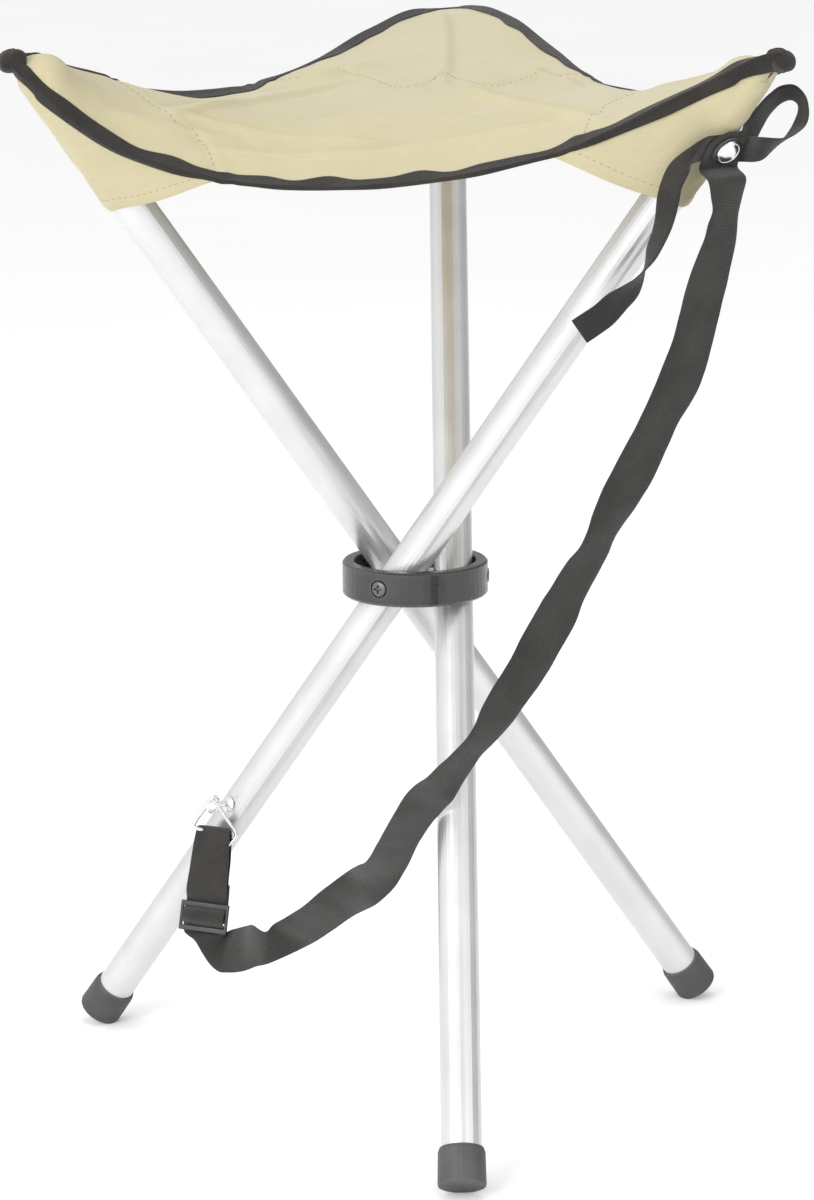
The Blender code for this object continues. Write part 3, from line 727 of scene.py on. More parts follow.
def on_line(line, ups, depth, height):
    """A point at a depth along a line of surface points, at a height above the surface."""
    if len(line) < 2:
        return line[0] + ups[0] * height
    run = run_lengths(line)
    at = np.array([np.interp(depth, run, line[:, c]) for c in range(3)])
    up = unit(np.array([np.interp(depth, run, ups[:, c]) for c in range(3)]))
    return at + up * height


def pocket_line(pocket, edge_point, share):
    """The pocket's outer face from one point of its edge, at a share of the way to its mouth."""
    rows, normals, stations = pocket
    place = float(np.interp(share, stations, np.arange(len(stations))))
    low = min(int(place), len(stations) - 2)
    t = place - low
    line = rows[low] * (1 - t) + rows[low + 1] * t
    ups = unit(normals[low] * (1 - t) + normals[low + 1] * t)
    if np.linalg.norm(line[0] - edge_point) > np.linalg.norm(line[-1] - edge_point):
        line, ups = line[::-1], ups[::-1]
    half = len(line) // 2
    return line[:half] + 0.4 * ups[:half], ups[:half]


def tape_section(corner, edge, share, line, up, pocket):
    """The folded tape's closed outline at one place: over the skin, round the edge, down the pocket."""
    near = share if edge == corner else 1 - share
    reach = REACH[corner][0 if edge == corner else 1]
    wave = TAPE_WAVE[edge] * (math.sin(share * 58 - 16.5) + 0.45 * math.sin(share * 93 + 8))
    ease = min(near / 0.25, 1)
    thick = 1.15 + 0.2 * math.sin(share * 53 + 1)
    skin, lift = np.array(line), np.array(up)
    length = float(np.linalg.norm(np.diff(skin, axis=0), axis=1).sum()) if len(skin) > 1 else 0.3
    inner = min(TAPE_WIDTH[edge] * (0.8 + 0.2 * ease) + wave * ease, max(length, 0.3))
    down, face = pocket_line(pocket, skin[0], min(near / reach, 1))
    drop = float(np.linalg.norm(np.diff(down, axis=0), axis=1).sum())
    outer = TAPE_OUTER[corner] * (1 - 0.6 * float(np.clip((near / reach - 0.55) / 0.4, 0, 1)))
    outer *= 1 + 0.75 * math.exp(-((near / 0.07) ** 2))
    outer = min(outer + 0.3 * math.sin(share * 47), max(drop, 0.3))
    on_pocket = smoothstep(float(np.clip((1.1 - near / reach) / 0.3, 0, 1)))

    def outside(depth, height):
        on_cloth = on_line(down, face, depth, height)
        under = on_line(skin, lift, min(depth, length), -0.5 - height)
        return on_cloth * on_pocket + under * (1 - on_pocket)

    inward = unit(skin[1] - skin[0]) if len(skin) > 1 else -unit(skin[0] * [1, 1, 0])
    section = [(on_line(skin, lift, inner * k, thick * h), inner * k) for k, h in (
        (1, 0.85), (0.94, 1.12), (0.75, 1), (0.5, 1.05), (0.25, 0.97), (0.06, 1),
    )]
    rim = skin[0] - inward * 1.15
    half = lift[0] * 0.75 * thick
    section += [(rim + half, 0), (rim - inward * 0.35, -0.5), (rim - half, -1)]
    section += [(outside(outer * k, thick * h), -outer * k) for k, h in (
        (0.08, 1), (0.3, 0.97), (0.55, 1.05), (0.78, 1), (0.94, 1.1), (1, 0.85), (1, 0.05), (0.5, 0.05),
        (0.06, 0.05),
    )]
    section += [(skin[0] - inward * 0.2, 0)]
    section += [(on_line(skin, lift, inner * k, 0.5), inner * k) for k in (0.06, 0.5, 1)]
    return section


def build_tape(grid, normals, pockets, tape_cloth):
    """Folded tape over the edges, one piece for each corner's two half edges."""
    n = GRID
    pieces = {}
    halves = {corner: [] for corner in CORNERS}
    for edge, to in EDGE_END.items():
        for i in range(n + 1):
            line = inward_line(grid, edge, i)
            up = inward_line(normals, edge, i)
            share = toward_ends(i / n)
            halves[edge if i <= n // 2 else to].append((edge, i, share, line, up))
            if i == n // 2:
                halves[to].append((edge, i, share, line, up))
    for corner, rows in halves.items():
        points, uvs, faces = [], [], []
        previous = None
        for edge, i, share, line, up in rows:
            if min(share, 1 - share) < TIP_SHARE:
                continue
            here = len(points)
            for point, across in tape_section(corner, edge, share, line, up, pockets[corner]):
                points.append(point)
                uvs.append((across * MM, share * EDGE_LENGTH))
            size = len(points) - here
            if previous is not None and previous[0] == edge:
                for k in range(size):
                    a, b = previous[1] + k, previous[1] + (k + 1) % size
                    c, d = here + (k + 1) % size, here + k
                    faces.append((a, d, c, b))
            else:
                faces.append(tuple(range(here, here + size)))
                if previous is not None:
                    faces.append(tuple(range(previous[1], previous[1] + size))[::-1])
            previous = (edge, here)
        faces.append(tuple(range(previous[1], previous[1] + size))[::-1])
        piece = add_mesh(f"edge_tape_{corner}", points, faces, tape_cloth, uvs)
        turn_faces_outward(piece)
        piece.data.set_sharp_from_angle(angle=math.radians(75))
        pieces[corner] = piece
    return pieces


TIP_SHARE = 0.006  # the wrapped tip covers the tape nearer to a corner than this
EDGE_LENGTH = 0.412  # metres
# The inner half's width and its waviness in mm, for each edge by its first corner.
TAPE_WIDTH = {"left": 7.4, "right": 6.6, "back": 8.6}
TAPE_WAVE = {"left": 1.7, "right": 0.7, "back": 0.7}
# The outer half's width in mm at each corner, and how far each pocket reaches along the edge that
# starts at its corner and the edge that ends there, as shares of those edges.
TAPE_OUTER = {"left": 3.6, "right": 5.4, "back": 6.5}
REACH = {"left": (0.27, 0.2), "right": (0.2, 0.30), "back": (0.22, 0.22)}


def build_knob(corner, tape_cloth):
    """The tape's folded end, wrapped over the very tip of a corner."""
    tip = nose(corner)
    outward = Vector((tip.x, tip.y, 0)).normalized()
    aside = Vector((-outward.y, outward.x, 0))
    middle = tip - 4.8 * outward + Vector((0, 0, -3.7))
    points, uvs = [], []
    rings, steps = 18, 28
    power = 2.4  # between a ball (2) and a box
    for i in range(rings + 1):
        lat = math.pi * i / rings - math.pi / 2
        for k in range(steps):
            turn = 2 * math.pi * k / steps
            lump = 1 + 0.05 * math.sin(3 * turn + 2 * lat) + 0.03 * math.sin(7 * turn + len(corner))
            x, y, z = math.cos(lat) * math.cos(turn), math.cos(lat) * math.sin(turn), math.sin(lat)
            square = (abs(x) ** power + abs(y) ** power + abs(z) ** power) ** (-1 / power)
            seam = 1 - 0.06 * math.exp(-((x + 0.35) / 0.10) ** 2)
            along, wide, tall = (v * square * lump * seam for v in (7.6 * x, 6.4 * y, 6.0 * z))
            tall -= 2.2 * max(0, -x) * (z < 0) + 1.2 * x
            points.append(middle + along * outward + wide * aside + Vector((0, 0, tall)))
            uvs.append((wide * MM, (along + tall) * MM))
    faces = ring_faces(rings + 1, steps)
    knob = add_mesh(f"tape_tip_{corner}", points, faces, tape_cloth, uvs)
    turn_faces_outward(knob, merge=0.02 * MM)
    return knob


# ---------------------------------------------------------------- pockets

MOUTH = {"left": 279, "right": 284, "back": 280}  # mm from the pivot to each pocket's lower end
POCKET_RADIUS = 12.3
POCKET_TIP = 0.1  # the share of the pocket that closes over the tube's end


def pocket_rows(corner, stations):
    """Rows of points across the sleeve: from one seat edge, round under the tube, to the other."""
    leg = LEGS[corner]
    reach = REACH[corner]
    start_of = {end: start for start, end in EDGE_END.items()}
    rows = []
    first = edge_curve(corner, EDGE_END[corner], stations * reach[0])
    second = edge_curve(start_of[corner], corner, 1 - stations * reach[1])
    for m, a, b in zip(stations, first, second):
        round_off = min(m / POCKET_TIP, 1)
        radius = POCKET_RADIUS * math.sqrt(max(1 - (1 - round_off) ** 2, 0.0004))
        if m < POCKET_TIP:
            station = UPPER + 9 - 10 * round_off
        else:
            past = (m - POCKET_TIP) / (1 - POCKET_TIP)
            station = UPPER - 1 + (MOUTH[corner] - UPPER + 1) * past
        centre = np.array(leg.at(station))
        out, under = np.array(leg.out), np.array(leg.under)
        sides = []
        for edge in (a, b):
            x, y = (edge - centre) @ out, (edge - centre) @ under
            distance = max(math.hypot(x, y), radius * 1.02)
            half = math.acos(radius / distance)
            lean = max((math.atan2(y, x) + turn for turn in (half, -half)), key=math.sin)
            sides.append(((lean + math.pi / 2) % (2 * math.pi) - math.pi / 2, edge))
        sides.sort(key=lambda side: side[0])
        (start, edge_a), (stop, edge_b) = sides
        arc = []
        for k, lean in enumerate(np.linspace(start, stop, 15)):
            ripple = 0.35 * math.sin(7 * m * math.pi + k) * (m > 0.3)
            arc.append(centre + (radius + ripple) * (math.cos(lean) * out + math.sin(lean) * under))
        row = []
        for edge, tip in ((edge_a, arc[0]), (edge_b, arc[-1])):
            wing = []
            for t in np.linspace(0, 1, 15)[:-1]:
                sag = math.sin(math.pi * t) * m
                p = edge + (tip - edge) * t
                p = p + under * 1.6 * sag + np.array([0, 0, -1.0]) * 1.2 * sag * math.sin(6 * m + 3 * t)
                wing.append(p)
            row.append(wing)
        rows.append(row[0] + arc + row[1][::-1])
    return np.array(rows)


def build_pocket(corner, cloth):
    """A corner's sleeve, with its rows, normals and stations."""
    stations = np.r_[np.linspace(0, 0.12, 9)[:-1], np.linspace(0.12, 1, 34)]
    rows = pocket_rows(corner, stations)
    count, size = rows.shape[:2]
    points, uvs, faces = [], [], []
    spread = run_lengths(rows[-1])
    normal = unit(np.cross(np.gradient(rows, axis=0), np.gradient(rows, axis=1)))
    below = np.array(LEGS[corner].under)
    normal *= np.sign((normal * below).sum(axis=-1, keepdims=True) + 1e-9)
    for level in (0.4, -0.4):
        for i in range(count):
            hem = 0.5 * math.exp(-(((1 - stations[i]) * 96 - 4) / 3.5) ** 2)
            for k in range(size):
                shift = level + (hem if level > 0 else -hem)
                points.append(rows[i, k] + normal[i, k] * shift)
                uvs.append((spread[k] * MM, stations[i] * 0.1))
    layer = count * size
    for i in range(count - 1):
        for k in range(size - 1):
            a = i * size + k
            faces.append((a, a + 1, a + size + 1, a + size))
            faces.append((a + layer + size, a + layer + size + 1, a + layer + 1, a + layer))
    border = list(range(size)) + [i * size + size - 1 for i in range(1, count)]
    border += [(count - 1) * size + k for k in range(size - 2, -1, -1)]
    border += [i * size for i in range(count - 2, 0, -1)]
    for a, b in zip(border, border[1:] + border[:1]):
        faces.append((a, a + layer, b + layer, b))
    piece = add_mesh(f"corner_pocket_{corner}", points, faces, cloth, uvs)
    turn_faces_outward(piece)
    piece.data.set_sharp_from_angle(angle=math.radians(70))
    return piece, rows, normal, stations


# ---------------------------------------------------------------- straps

STRAP_WIDE = 25
STRAP_THICK = 1.3
# The carrying strap's middle, in mm from the hub's middle, and the turn of its face in degrees
# from facing the front.
CARRY = (
    (164, -131, 237, 34), (164, -131, 229, 44), (163.5, -131, 221, 51), (161.5, -131, 213, 46),
    (160, -131, 205, 43), (157, -131, 194, 38), (154.5, -131, 184, 32), (150, -131, 167, 29),
    (146, -130, 150, 28), (143, -130, 141, 24), (140, -129, 132, 23), (136, -129, 123, 27),
    (132, -129, 115, 31), (124, -128, 99, 29), (116, -128, 82, 26), (107, -127, 65, 32),
    (103, -126, 57, 39), (99, -126, 48, 46), (95, -126, 40, 45), (90, -125, 32, 40),
    (81, -124, 15, 34), (77, -124, 7, 25), (68, -122, -10, 22), (59, -121, -27, 27),
    (49, -120, -43, 31), (44, -119, -52, 34), (39, -117, -60, 43), (33, -116, -68, 50),
    (27, -115, -75, 51), (21, -113, -83, 44), (15, -110, -91, 37), (9, -106, -99, 22),
    (3, -101, -107, 21), (-3, -95, -117, 27), (-8, -87, -128, 29), (-13, -78, -140, 27),
    (-18, -68, -151, 22), (-24, -58, -161, 6), (-32, -50, -170, -4), (-40, -44, -177, 8),
    (-49, -38, -185, 14), (-57, -31, -193, 18), (-66, -25, -201, 20), (-74, -21, -207, 21),
)
# Where the strap turns up towards the slider: its outer edge and its inner edge.
TURN = (
    ((-87, -17, -225), (-89, -22, -204)), ((-94, -13, -228), (-95, -15, -202.5)),
    ((-102.5, -8, -232.5), (-99.5, 0, -207.5)), ((-110.5, -4, -234.5), (-105.5, 8, -211.5)),
    ((-117, -1, -234.5), (-109, 12, -213.5)), ((-121.5, 2, -231.5), (-111, 12, -214.3)),
    ((-126, 5, -225.5), (-112, 10, -214.4)), ((-130.5, 8, -218.5), (-112.8, 7, -214)),
)
SLIDER = Vector((-124.8, 10, -205))
BAR = Vector((-118.7, 21, -156.8))
SLIDER_UP = (BAR - SLIDER).normalized()
SLIDER_ACROSS = Vector((0.945, -0.27, -0.15))
SLIDER_ACROSS = (SLIDER_ACROSS - SLIDER_ACROSS.dot(SLIDER_UP) * SLIDER_UP).normalized()
SLIDER_FRONT = SLIDER_ACROSS.cross(SLIDER_UP)
# The strap through the slider and over the triangle: forward of the slider's middle, up from it,
# and width.
THREADED = (
    (-2.4, -9.5, 24.6), (-2.5, -7, 24.8), (-0.6, -4.4, 24.8), (2.4, -2.6, 25), (3.5, 0, 25),
    (2.4, 2.6, 25), (-0.4, 4.5, 24.8), (-2.3, 7, 24.8), (-1.6, 10, 24.2), (0.6, 14, 24.6),
    (1.7, 19, 24.0), (1.5, 27, 23.2), (2.0, 35, 22.4), (2.3, 43, 21.4), (2.4, 48, 20.6),
    (2.2, 51, 20.2), (1.2, 52.6, 20), (-0.2, 53, 20), (-1.6, 52, 20.2), (-2.3, 49.5, 20.8),
    (-2.2, 43, 21.6), (-2.6, 33, 22.6), (-2.4, 22, 23.4), (-3.6, 13, 24), (-4.2, 8, 24.4),
    (-3.6, 5.2, 24.6), (-1.6, 2.9, 24.6), (0.6, 2.5, 24.6), (1.95, 1.3, 24.6), (1.95, -1.3, 24.6),
    (0.4, -2.5, 24.6), (-1.8, -2.5, 24.6), (-4.0, 0, 24.6), (-5.6, 5, 24.4), (-5.6, 12, 24.2),
    (-4.6, 20, 24),
)
CLOSER_WIDE = 16.5
CLOSER_THICK = 1.1
# The closing strap's loose end, from its tip to the stud, and the turn of its face.
LOOSE_END = (
    (87, -129, 158, 158), (93, -129, 162, 157), (100, -129.5, 167, 154), (107, -130, 174, 146),
    (114, -131, 180, 131), (118, -132, 186, 112), (121, -133, 192, 94), (124, -134, 199, 76),
    (127.5, -135, 207, 67), (130.8, -136, 217, 57), (132.8, -136, 228, 49), (135, -136, 237, 54),
    (139, -136, 244.5, 58),
)
# Its loop, from behind the strap to the front: a middle and the direction across.
LOOP = (
    (176, -118, 261, -0.30, -0.62, 0.72), (182, -113, 268, -0.24, -0.66, 0.71),
    (188, -109, 275, -0.18, -0.72, 0.67), (194, -107.5, 279.5, -0.10, -0.78, 0.62),
    (199.5, -108.5, 280.5, 0.02, -0.84, 0.54), (203.5, -112, 277.5, 0.12, -0.92, 0.36),
    (204.5, -117, 272, 0.22, -0.96, 0.16), (202.5, -122, 266, 0.30, -0.95, 0.08),
    (197.5, -127, 260.5, 0.26, -0.94, 0.18), (190.5, -131.5, 256.5, 0.14, -0.90, 0.36),
    (183, -134, 254, 0.0, -0.68, 0.72),
)
STUD_STATION = 325  # mm along the leg from its pivot
STUD_TURN = math.radians(68)  # from the pivot's side towards the leg's underside
# Heights of the layers under the stud, in mm from the tube's axis.
LEVELS = {"back": 13.9, "strap": 15.5, "front": 17.1, "cap": 18.1}


def turned_rows(rows, wide):
    """Middle and both edges for rows whose last number is the turn of the strap's face."""
    middle = np.array([row[:3] for row in rows], float)
    ahead = unit(np.gradient(middle, axis=0))
    side = unit(np.cross(ahead, [0.0, -1.0, 0.0]))
    face = np.cross(side, ahead)
    turn = np.radians([row[3] for row in rows])[:, None]
    side = (side * np.cos(turn) + face * np.sin(turn)) * wide / 2
    return np.hstack([middle, middle - side, middle + side])


def edge_rows(pairs):
    low, high = (np.array([pair[k] for pair in pairs], float) for k in (0, 1))
    return np.hstack([(low + high) / 2, low, high])


def across_rows(rows, wide):
    middle = np.array([row[:3] for row in rows], float)
    side = unit(np.array([row[3:6] for row in rows], float)) * wide / 2
    return np.hstack([middle, middle - side, middle + side])


def stud_frame():
    """The stud's foot on the tube's axis, its direction, and down and across at right angles."""
    leg = LEGS["right"]
    out = (math.cos(STUD_TURN) * leg.out + math.sin(STUD_TURN) * leg.under).normalized()
    down = (-FLAT_UP + FLAT_UP.dot(out) * out).normalized()
    return leg.at(STUD_STATION), out, down, down.cross(out).normalized()


def thread_rows():
    rows = []
    for forward, up, wide in THREADED:
        middle = SLIDER + forward * SLIDER_FRONT + up * SLIDER_UP
        rows.append(rail_row(middle, SLIDER_ACROSS * wide / 2))
    return np.array(rows)


def slack(low, high, along, amount, seed):
    """Small uneven waves in both edges of a strap."""
    ahead = unit(np.gradient((low + high) / 2, axis=0))
    normal = unit(np.cross(high - low, ahead))
    wave = np.zeros(len(along))
    other = np.zeros(len(along))
    for k, length in enumerate((61.0, 37.0, 23.0, 14.0)):
        turn = math.tau * along / length
        wave += np.sin(turn + seed + 1.7 * k) * 0.55**k
        other += np.sin(turn + 2.1 * seed + 0.9 * k + 1) * 0.55**k
    fade = amount * np.clip(np.minimum(along, along[-1] - along) / 12, 0, 1)[:, None]
    return low + fade * wave[:, None] * normal, high + fade * other[:, None] * normal


def rail_row(middle, side):
    """A row of a strap: its middle and both edges."""
    return [*middle, *(middle - side), *(middle + side)]


def build_carry_strap(web):
    foot, out, down, across = stud_frame()
    if across.x > 0:
        across = -across
    side = across * STRAP_WIDE / 2
    rows = [
        rail_row(foot + (LEVELS["strap"] + lift) * out + s * down, side)
        for s, lift in ((-11, -0.1), (-6, 0), (0, 0), (6, 0), (11, 0.4))
    ]
    rows = np.vstack([rows, turned_rows(CARRY, STRAP_WIDE), edge_rows(TURN), thread_rows()])
    rows, along = resample(rows, 1.6)
    low, high = slack(rows[:, 3:6], rows[:, 6:9], along, 0.35, 0.4)
    strap = tape("carry_webbing", low, high, STRAP_THICK, web, 13, 0.25, first_radius=9.5)
    return strap, along[-1]


def build_closer(web):
    foot, out, down, across = stud_frame()
    if across.x < 0:
        across = -across

    def held(level, places):
        """Rows held at the stud, from (across, down, lift)."""
        return np.array([
            rail_row(foot + (LEVELS[level] + lift) * out + s * across + drop * down,
                     -down * CLOSER_WIDE / 2)
            for s, drop, lift in places
        ])

    loose = turned_rows(LOOSE_END, CLOSER_WIDE)
    loose = loose[:, [0, 1, 2, 6, 7, 8, 3, 4, 5]]
    behind = held("back", ((-16, 0.5, 0.6), (-8, 0, 0), (0, -0.5, 0), (7, -1.5, 0)))
    front = held("front", ((9, -0.5, 0.3), (3, 0, 0), (-4, 0.3, 0), (-8.5, 0.5, -0.2)))
    rows = np.vstack([loose, behind, across_rows(LOOP, CLOSER_WIDE), front])
    rows, along = resample(rows, 1.4)
    low, high = slack(rows[:, 3:6], rows[:, 6:9], along, 0.2, 2.3)
    closer = tape("closing_webbing", low, high, CLOSER_THICK, web, 11, 0.15, last_radius=8)
    return closer, along[-1]


def turned_profile(name, profile, foot, out, material, steps=40):
    """A turned part from (radius, height) pairs, about the line from `foot` along `out`."""
    first = out.orthogonal().normalized()
    second = out.cross(first)
    points = []
    for radius, height in profile:
        for k in range(steps):
            a = math.tau * k / steps
            aside = math.cos(a) * first + math.sin(a) * second
            points.append(foot + height * out + radius * aside)
    faces = ring_faces(len(profile), steps) + end_faces(len(profile), steps)
    made = add_mesh(name, points, faces, material)
    made.data.set_sharp_from_angle(angle=math.radians(40))
    return made


def wire_mesh(name, points, radius, material, sides=14):
    """A round wire through points, with its section turned as little as possible."""
    count = len(points)
    verts, normal = [], None
    for i, point in enumerate(points):
        ahead = (points[min(i + 1, count - 1)] - points[max(i - 1, 0)]).normalized()
        normal = ahead.orthogonal() if normal is None else normal - normal.dot(ahead) * ahead
        normal.normalize()
        second = ahead.cross(normal)
        here = radius * (0.55 if i in (0, count - 1) else 1.0)
        for k in range(sides):
            a = math.tau * k / sides
            verts.append(point + here * (math.cos(a) * normal + math.sin(a) * second))
    faces = ring_faces(count, sides) + end_faces(count, sides)
    return add_mesh(name, verts, faces, material)


def smooth_line(points, spacing=0.6):
    return [Vector(p) for p in resample(np.array(points, float), spacing)[0].tolist()]


def build_stud(metal, dark):
    """The snap cap and the dark washer under it."""
    foot, out = stud_frame()[:2]
    top = LEVELS["cap"]
    washer = ((3, -1.0), (8.6, -1.0), (8.8, -0.5), (8.5, -0.1), (7.0, 0.25), (3, 0.25))
    washer = turned_profile("stud_washer", [(r, top + h) for r, h in washer], foot, out, dark)
    cap = (
        (2.2, -7.2), (2.2, -0.2), (7.0, 0.2), (7.15, 0.55), (6.9, 0.95), (6.3, 1.15), (6.05, 1.0),
        (5.7, 1.05), (5.0, 1.6), (3.6, 2.2), (2.0, 2.5), (0.4, 2.6),
    )
    cap = turned_profile("stud_cap", [(r, top + h) for r, h in cap], foot, out, metal, 48)
    return cap, washer


def build_triangle(metal):
    """The open wire triangle that the strap's end loops over."""
    corner = (
        (-111.2, 18.0, -164.6), (-109.4, 18.2, -162.9), (-107.0, 18.6, -160.9), (-105.6, 19.2, -158.9),
        (-105.9, 19.6, -156.9), (-108.5, 19.8, -152.5), (-113.5, 20, -144.5), (-117.4, 20.1, -138.4),
        (-119.0, 20.2, -136.9), (-120.8, 20.4, -137.9), (-124.6, 20.7, -143.4),
        (-129.6, 21.0, -150.6), (-130.4, 21.1, -152.8), (-128.8, 21.2, -154.2),
        (-124.0, 21.2, -155.6), (-118.0, 21.3, -157.2), (-112.0, 21.5, -158.9), (-107.6, 21.8, -160.2),
    )
    return wire_mesh("triangle_wire", smooth_line(corner), 1.15, metal)


def build_slider(dark):
    """A three-bar slider with rounded bars, as one closed grid of cells."""
    wide, tall, thick = 14.5, 8.6, 1.25  # half sizes in mm
    lip, side_bar, end_bar, middle_bar = 0.7, 1.7, 2.9, 1.5
    columns = [-wide, -wide + lip, -wide + side_bar, wide - side_bar, wide - lip, wide]
    rows = [-tall, -tall + lip, -tall + end_bar, -middle_bar]
    rows += [-z for z in reversed(rows)]
    holes = {(2, 2), (2, 4)}
    bm = bmesh.new()
    points = {}
    for side in (-1, 1):
        for i, x in enumerate(columns):
            for j, z in enumerate(rows):
                at = SLIDER + x * SLIDER_ACROSS + z * SLIDER_UP + side * thick * SLIDER_FRONT
                points[side, i, j] = bm.verts.new(world(at))
    solid = {(i, j) for i in range(len(columns) - 1) for j in range(len(rows) - 1)} - holes
    for i, j in solid:
        for side in (-1, 1):
            quad = [points[side, a, b] for a, b in ((i, j), (i + 1, j), (i + 1, j + 1), (i, j + 1))]
            bm.faces.new(quad if side > 0 else quad[::-1])
        around = (
            ((i, j - 1), (i, j), (i + 1, j)), ((i + 1, j), (i + 1, j), (i + 1, j + 1)),
            ((i, j + 1), (i + 1, j + 1), (i, j + 1)), ((i - 1, j), (i, j + 1), (i, j)),
        )
        for cell, a, b in around:
            if cell not in solid:
                bm.faces.new([points[1, *b], points[1, *a], points[-1, *a], points[-1, *b]])
    bmesh.ops.remove_doubles(bm, verts=bm.verts, dist=1e-6)
    bmesh.ops.recalc_face_normals(bm, faces=bm.faces)
    edges = [e for e in bm.edges if len(e.link_faces) == 2 and e.calc_face_angle() > 0.5]
    bmesh.ops.bevel(bm, geom=edges, offset=0.55 * MM, segments=3, profile=0.5, affect="EDGES")
    mesh = bpy.data.meshes.new("slider_moulding")
    bm.to_mesh(mesh)
    bm.free()
    mesh.materials.append(dark)
    mesh.shade_smooth()
    made = bpy.data.objects.new("slider_moulding", mesh)
    bpy.context.scene.collection.objects.link(made)
    return made


def stitches(name, line, normals, thread, length=2.6, gap=1.5, radius=0.28, sink=0.05):
    """A row of thread stitches along a line on a surface."""
    line, normals = np.array(line, float), np.array(normals, float)
    along = run_lengths(line)
    # Along the stitch, its thickness and its height.
    shape = ((0, 0.35, -0.6), (0.12, 0.85, 0.1), (0.5, 1, 0.45), (0.88, 0.85, 0.1), (1, 0.35, -0.6))
    sides = 6
    verts, faces = [], []
    for k in range(int(along[-1] // (length + gap))):
        start = k * (length + gap) + gap / 2
        first = len(verts)
        for share, thin, lift in shape:
            s = start + share * length
            p, up = (np.array([np.interp(s, along, v[:, c]) for c in range(3)]) for v in (line, normals))
            q = np.array([np.interp(s + 0.3, along, line[:, c]) for c in range(3)])
            ahead, up = unit(q - p + 1e-9), unit(up)
            side = np.cross(ahead, up)
            for turn in range(sides):
                a = math.tau * turn / sides
                offset = radius * thin * (math.cos(a) * side + math.sin(a) * up)
                verts.append(p + offset + up * (radius * lift + sink))
        faces += ring_faces(len(shape), sides, first) + end_faces(len(shape), sides, first)
    return add_mesh(name, verts, faces, thread)


# ---------------------------------------------------------------- floor and light

FLOOR_HALF = 12  # metres
BRIGHT_SIDE = (-0.75, -0.55, 0.35)  # the studio is brightest this way
SKY_SPREAD = (-0.7, 0.6, 0.42, 1.08)  # from and to along BRIGHT_SIDE, then the light at each
LAMPS = (
    # name, place in metres, size in metres, watts
    ("key", (-1.7, -2.4, 1.5), 1.4, 48),
    ("fill", (2.2, -1.8, 1.4), 1.6, 15),
    ("top", (0.2, 0.4, 2.8), 2.0, 12),
)


def build_floor():
    """A plain white floor, with a little light of its own so that it stays white."""
    g = Graph("floor")
    cloud = g.noise(g.coords(), 1.5, 2.0)
    white = g.ramp(cloud, ((0.3, (0.9, 0.9, 0.9)), (0.7, (0.92, 0.92, 0.92))))
    g.set(Base_Color=white, Roughness=0.9)
    g.set(Emission_Color=(1, 1, 1, 1), Emission_Strength=0.14)
    mesh = bpy.data.meshes.new("floor")
    corners = [(x * FLOOR_HALF, y * FLOOR_HALF, 0) for x, y in ((-1, -1), (1, -1), (1, 1), (-1, 1))]
    mesh.from_pydata(corners, [], [(0, 1, 2, 3)])
    mesh.materials.append(g.material)
    floor = bpy.data.objects.new("floor", mesh)
    bpy.context.scene.collection.objects.link(floor)


def build_world():
    """Soft light, brighter from one side. The world itself shows as plain white."""
    world_data = bpy.data.worlds.new("studio")
    bpy.context.scene.world = world_data
    world_data.use_nodes = True
    tree = world_data.node_tree
    sky = tree.nodes["Background"]
    aim = tree.nodes.new("ShaderNodeTexCoord")
    side = tree.nodes.new("ShaderNodeVectorMath")
    side.operation = "DOT_PRODUCT"
    side.inputs[1].default_value = Vector(BRIGHT_SIDE).normalized()
    spread = tree.nodes.new("ShaderNodeMapRange")
    for k, value in enumerate(SKY_SPREAD, 1):
        spread.inputs[k].default_value = value
    tree.links.new(aim.outputs["Generated"], side.inputs[0])
    tree.links.new(side.outputs["Value"], spread.inputs[0])
    tree.links.new(spread.outputs[0], sky.inputs["Color"])
    sky.inputs["Strength"].default_value = 1.0
    pale = tree.nodes.new("ShaderNodeBackground")
    pale.inputs["Strength"].default_value = 1.0
    pale.inputs["Color"].default_value = (1, 1, 1, 1)
    seen = tree.nodes.new("ShaderNodeLightPath")
    pick = tree.nodes.new("ShaderNodeMixShader")
    tree.links.new(seen.outputs["Is Camera Ray"], pick.inputs[0])
    tree.links.new(sky.outputs[0], pick.inputs[1])
    tree.links.new(pale.outputs[0], pick.inputs[2])
    tree.links.new(pick.outputs[0], tree.nodes["World Output"].inputs["Surface"])


def build_lamps():
    for name, place, size, power in LAMPS:
        data = bpy.data.lights.new(name, "AREA")
        data.size = size
        data.energy = power
        lamp = bpy.data.objects.new(name, data)
        bpy.context.scene.collection.objects.link(lamp)
        lamp.location = place
        aim = Vector((0, 0, 0.3)) - Vector(place)
        lamp.rotation_euler = aim.to_track_quat("-Z", "Y").to_euler()


# ---------------------------------------------------------------- assembly

def dress(nodes, material):
    for name in nodes:
        obj = bpy.data.objects[name]
        for slot in obj.material_slots:
            slot.material = material
        if not obj.material_slots:
            obj.data.materials.append(material)


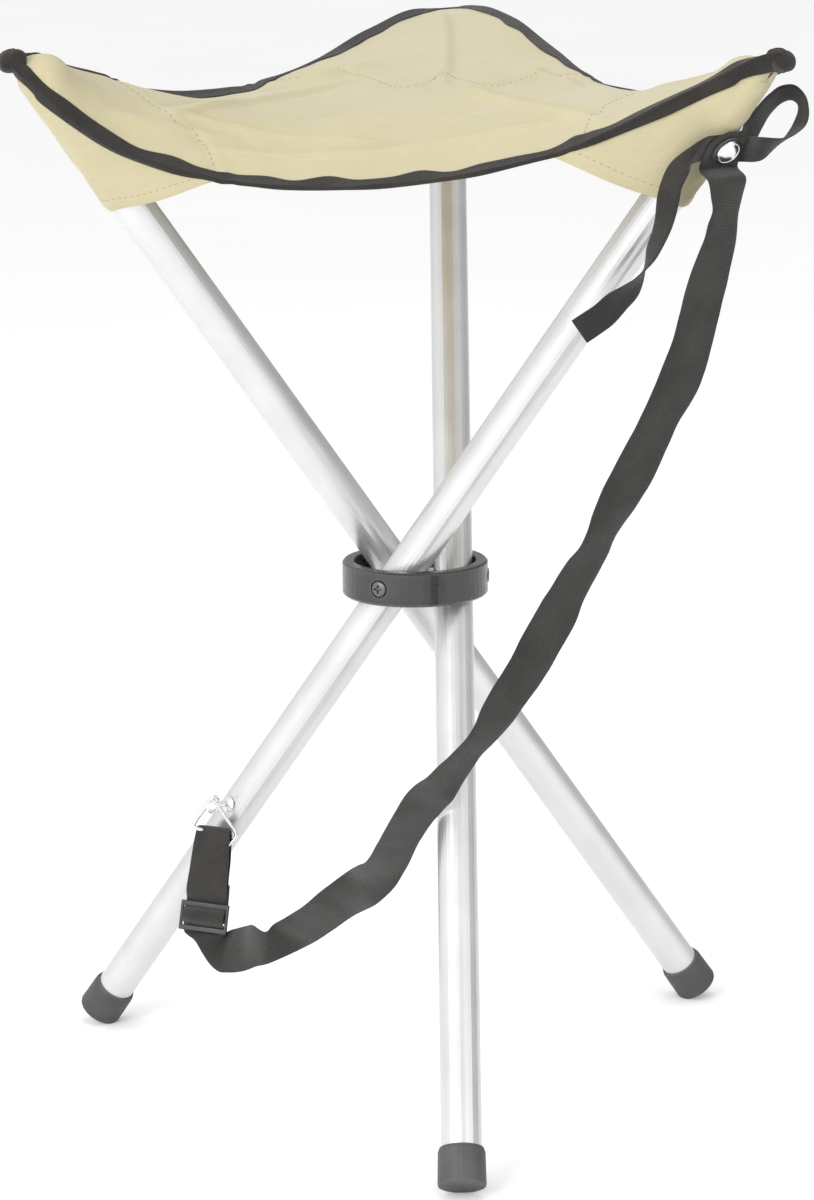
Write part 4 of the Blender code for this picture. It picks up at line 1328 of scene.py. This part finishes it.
def main():
    make_camera()
    web = webbing_material("strap_webbing", (0.056, 0.053, 0.049), (0.036, 0.034, 0.031), 420)
    cloth = cloth_material()
    tape_cloth = webbing_material("edge_tape", (0.044, 0.039, 0.033), (0.025, 0.022, 0.019), 560)
    plated = plated_material()
    black = moulded_material("slider_plastic", (0.012, 0.012, 0.012), 0.4)

    strap, long = build_carry_strap(web)
    # The closing strap's webbing is the carry strap's weave at about three quarters of its colours: painted
    # shade, darkening the closing strap as if it lay in shade.
    shade_darkened_web = webbing_material("closing_webbing", (0.042, 0.039, 0.036), (0.025, 0.023, 0.021), 420)
    closer, short = build_closer(shade_darkened_web)
    cap, washer = build_stud(plated, black)
    triangle = build_triangle(plated)
    slider = build_slider(black)
    for piece, node, slot in (
        (strap, "carry_strap", "webbing"), (closer, "closing_strap", "webbing"),
        (cap, "strap_stud", "steel"), (washer, None, "steel"), (triangle, "strap_triangle", "steel"),
        (slider, "strap_slider", "plastic"),
    ):
        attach(piece, "leg_right")
        if node:
            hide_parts(node)

    grid, normals, cloths = build_seat(cloth)
    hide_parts("seat_panel")
    pockets = {corner: build_pocket(corner, cloth) for corner in CORNERS}
    tapes = build_tape(grid, normals, {corner: found[1:] for corner, found in pockets.items()}, tape_cloth)
    thread = thread_material()
    for corner, node in (
        ("left", "binding_back_left"), ("right", "binding_left_right"), ("back", "binding_right_back"),
    ):
        pocket, rows, faces, stations = pockets[corner]
        hem = len(stations) - 4
        seam = stitches(f"pocket_stitches_{corner}", rows[hem], faces[hem], thread, sink=0.4)
        hem_points, hem_normals = hem_line(grid, normals, corner)
        top_seam = stitches(f"hem_stitches_{corner}", hem_points, hem_normals, thread, sink=0.35)
        knob = build_knob(corner, tape_cloth)
        for piece, slot in (
            (cloths[corner], "seat_fabric"), (tapes[corner], "binding"), (pocket, "seat_fabric"),
            (seam, "seat_fabric"), (top_seam, "seat_fabric"), (knob, "binding"),
        ):
            with_leg(piece)
        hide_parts(node)
        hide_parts(f"pocket_{corner}")

    dress([f"tube_{c}" for c in CORNERS], tube_material())
    ring = moulded_material("ring_plastic", (0.0165, 0.0195, 0.017), 0.3, 0.25)
    dress(["hub_ring"] + [f"end_plug_{c}" for c in CORNERS], ring)
    rubber = moulded_material("foot_rubber", (0.045, 0.045, 0.044), 0.55, 0.0, 520.0, 0.0002)
    dress([f"foot_{c}" for c in CORNERS], rubber)
    dress([f"spacer_{c}" for c in CORNERS], moulded_material("spacer_nylon", (0.6, 0.6, 0.57), 0.5))
    dress([f"nut_{c}" for c in CORNERS] + ["triangle_clip"], plated)
    dress([f"bolt_{c}" for c in CORNERS], plated_material("burnished_steel", 0.17, 0.34))
    bpy.context.scene.view_settings.view_transform = "Standard"
    build_floor()
    build_world()
    build_lamps()


main()
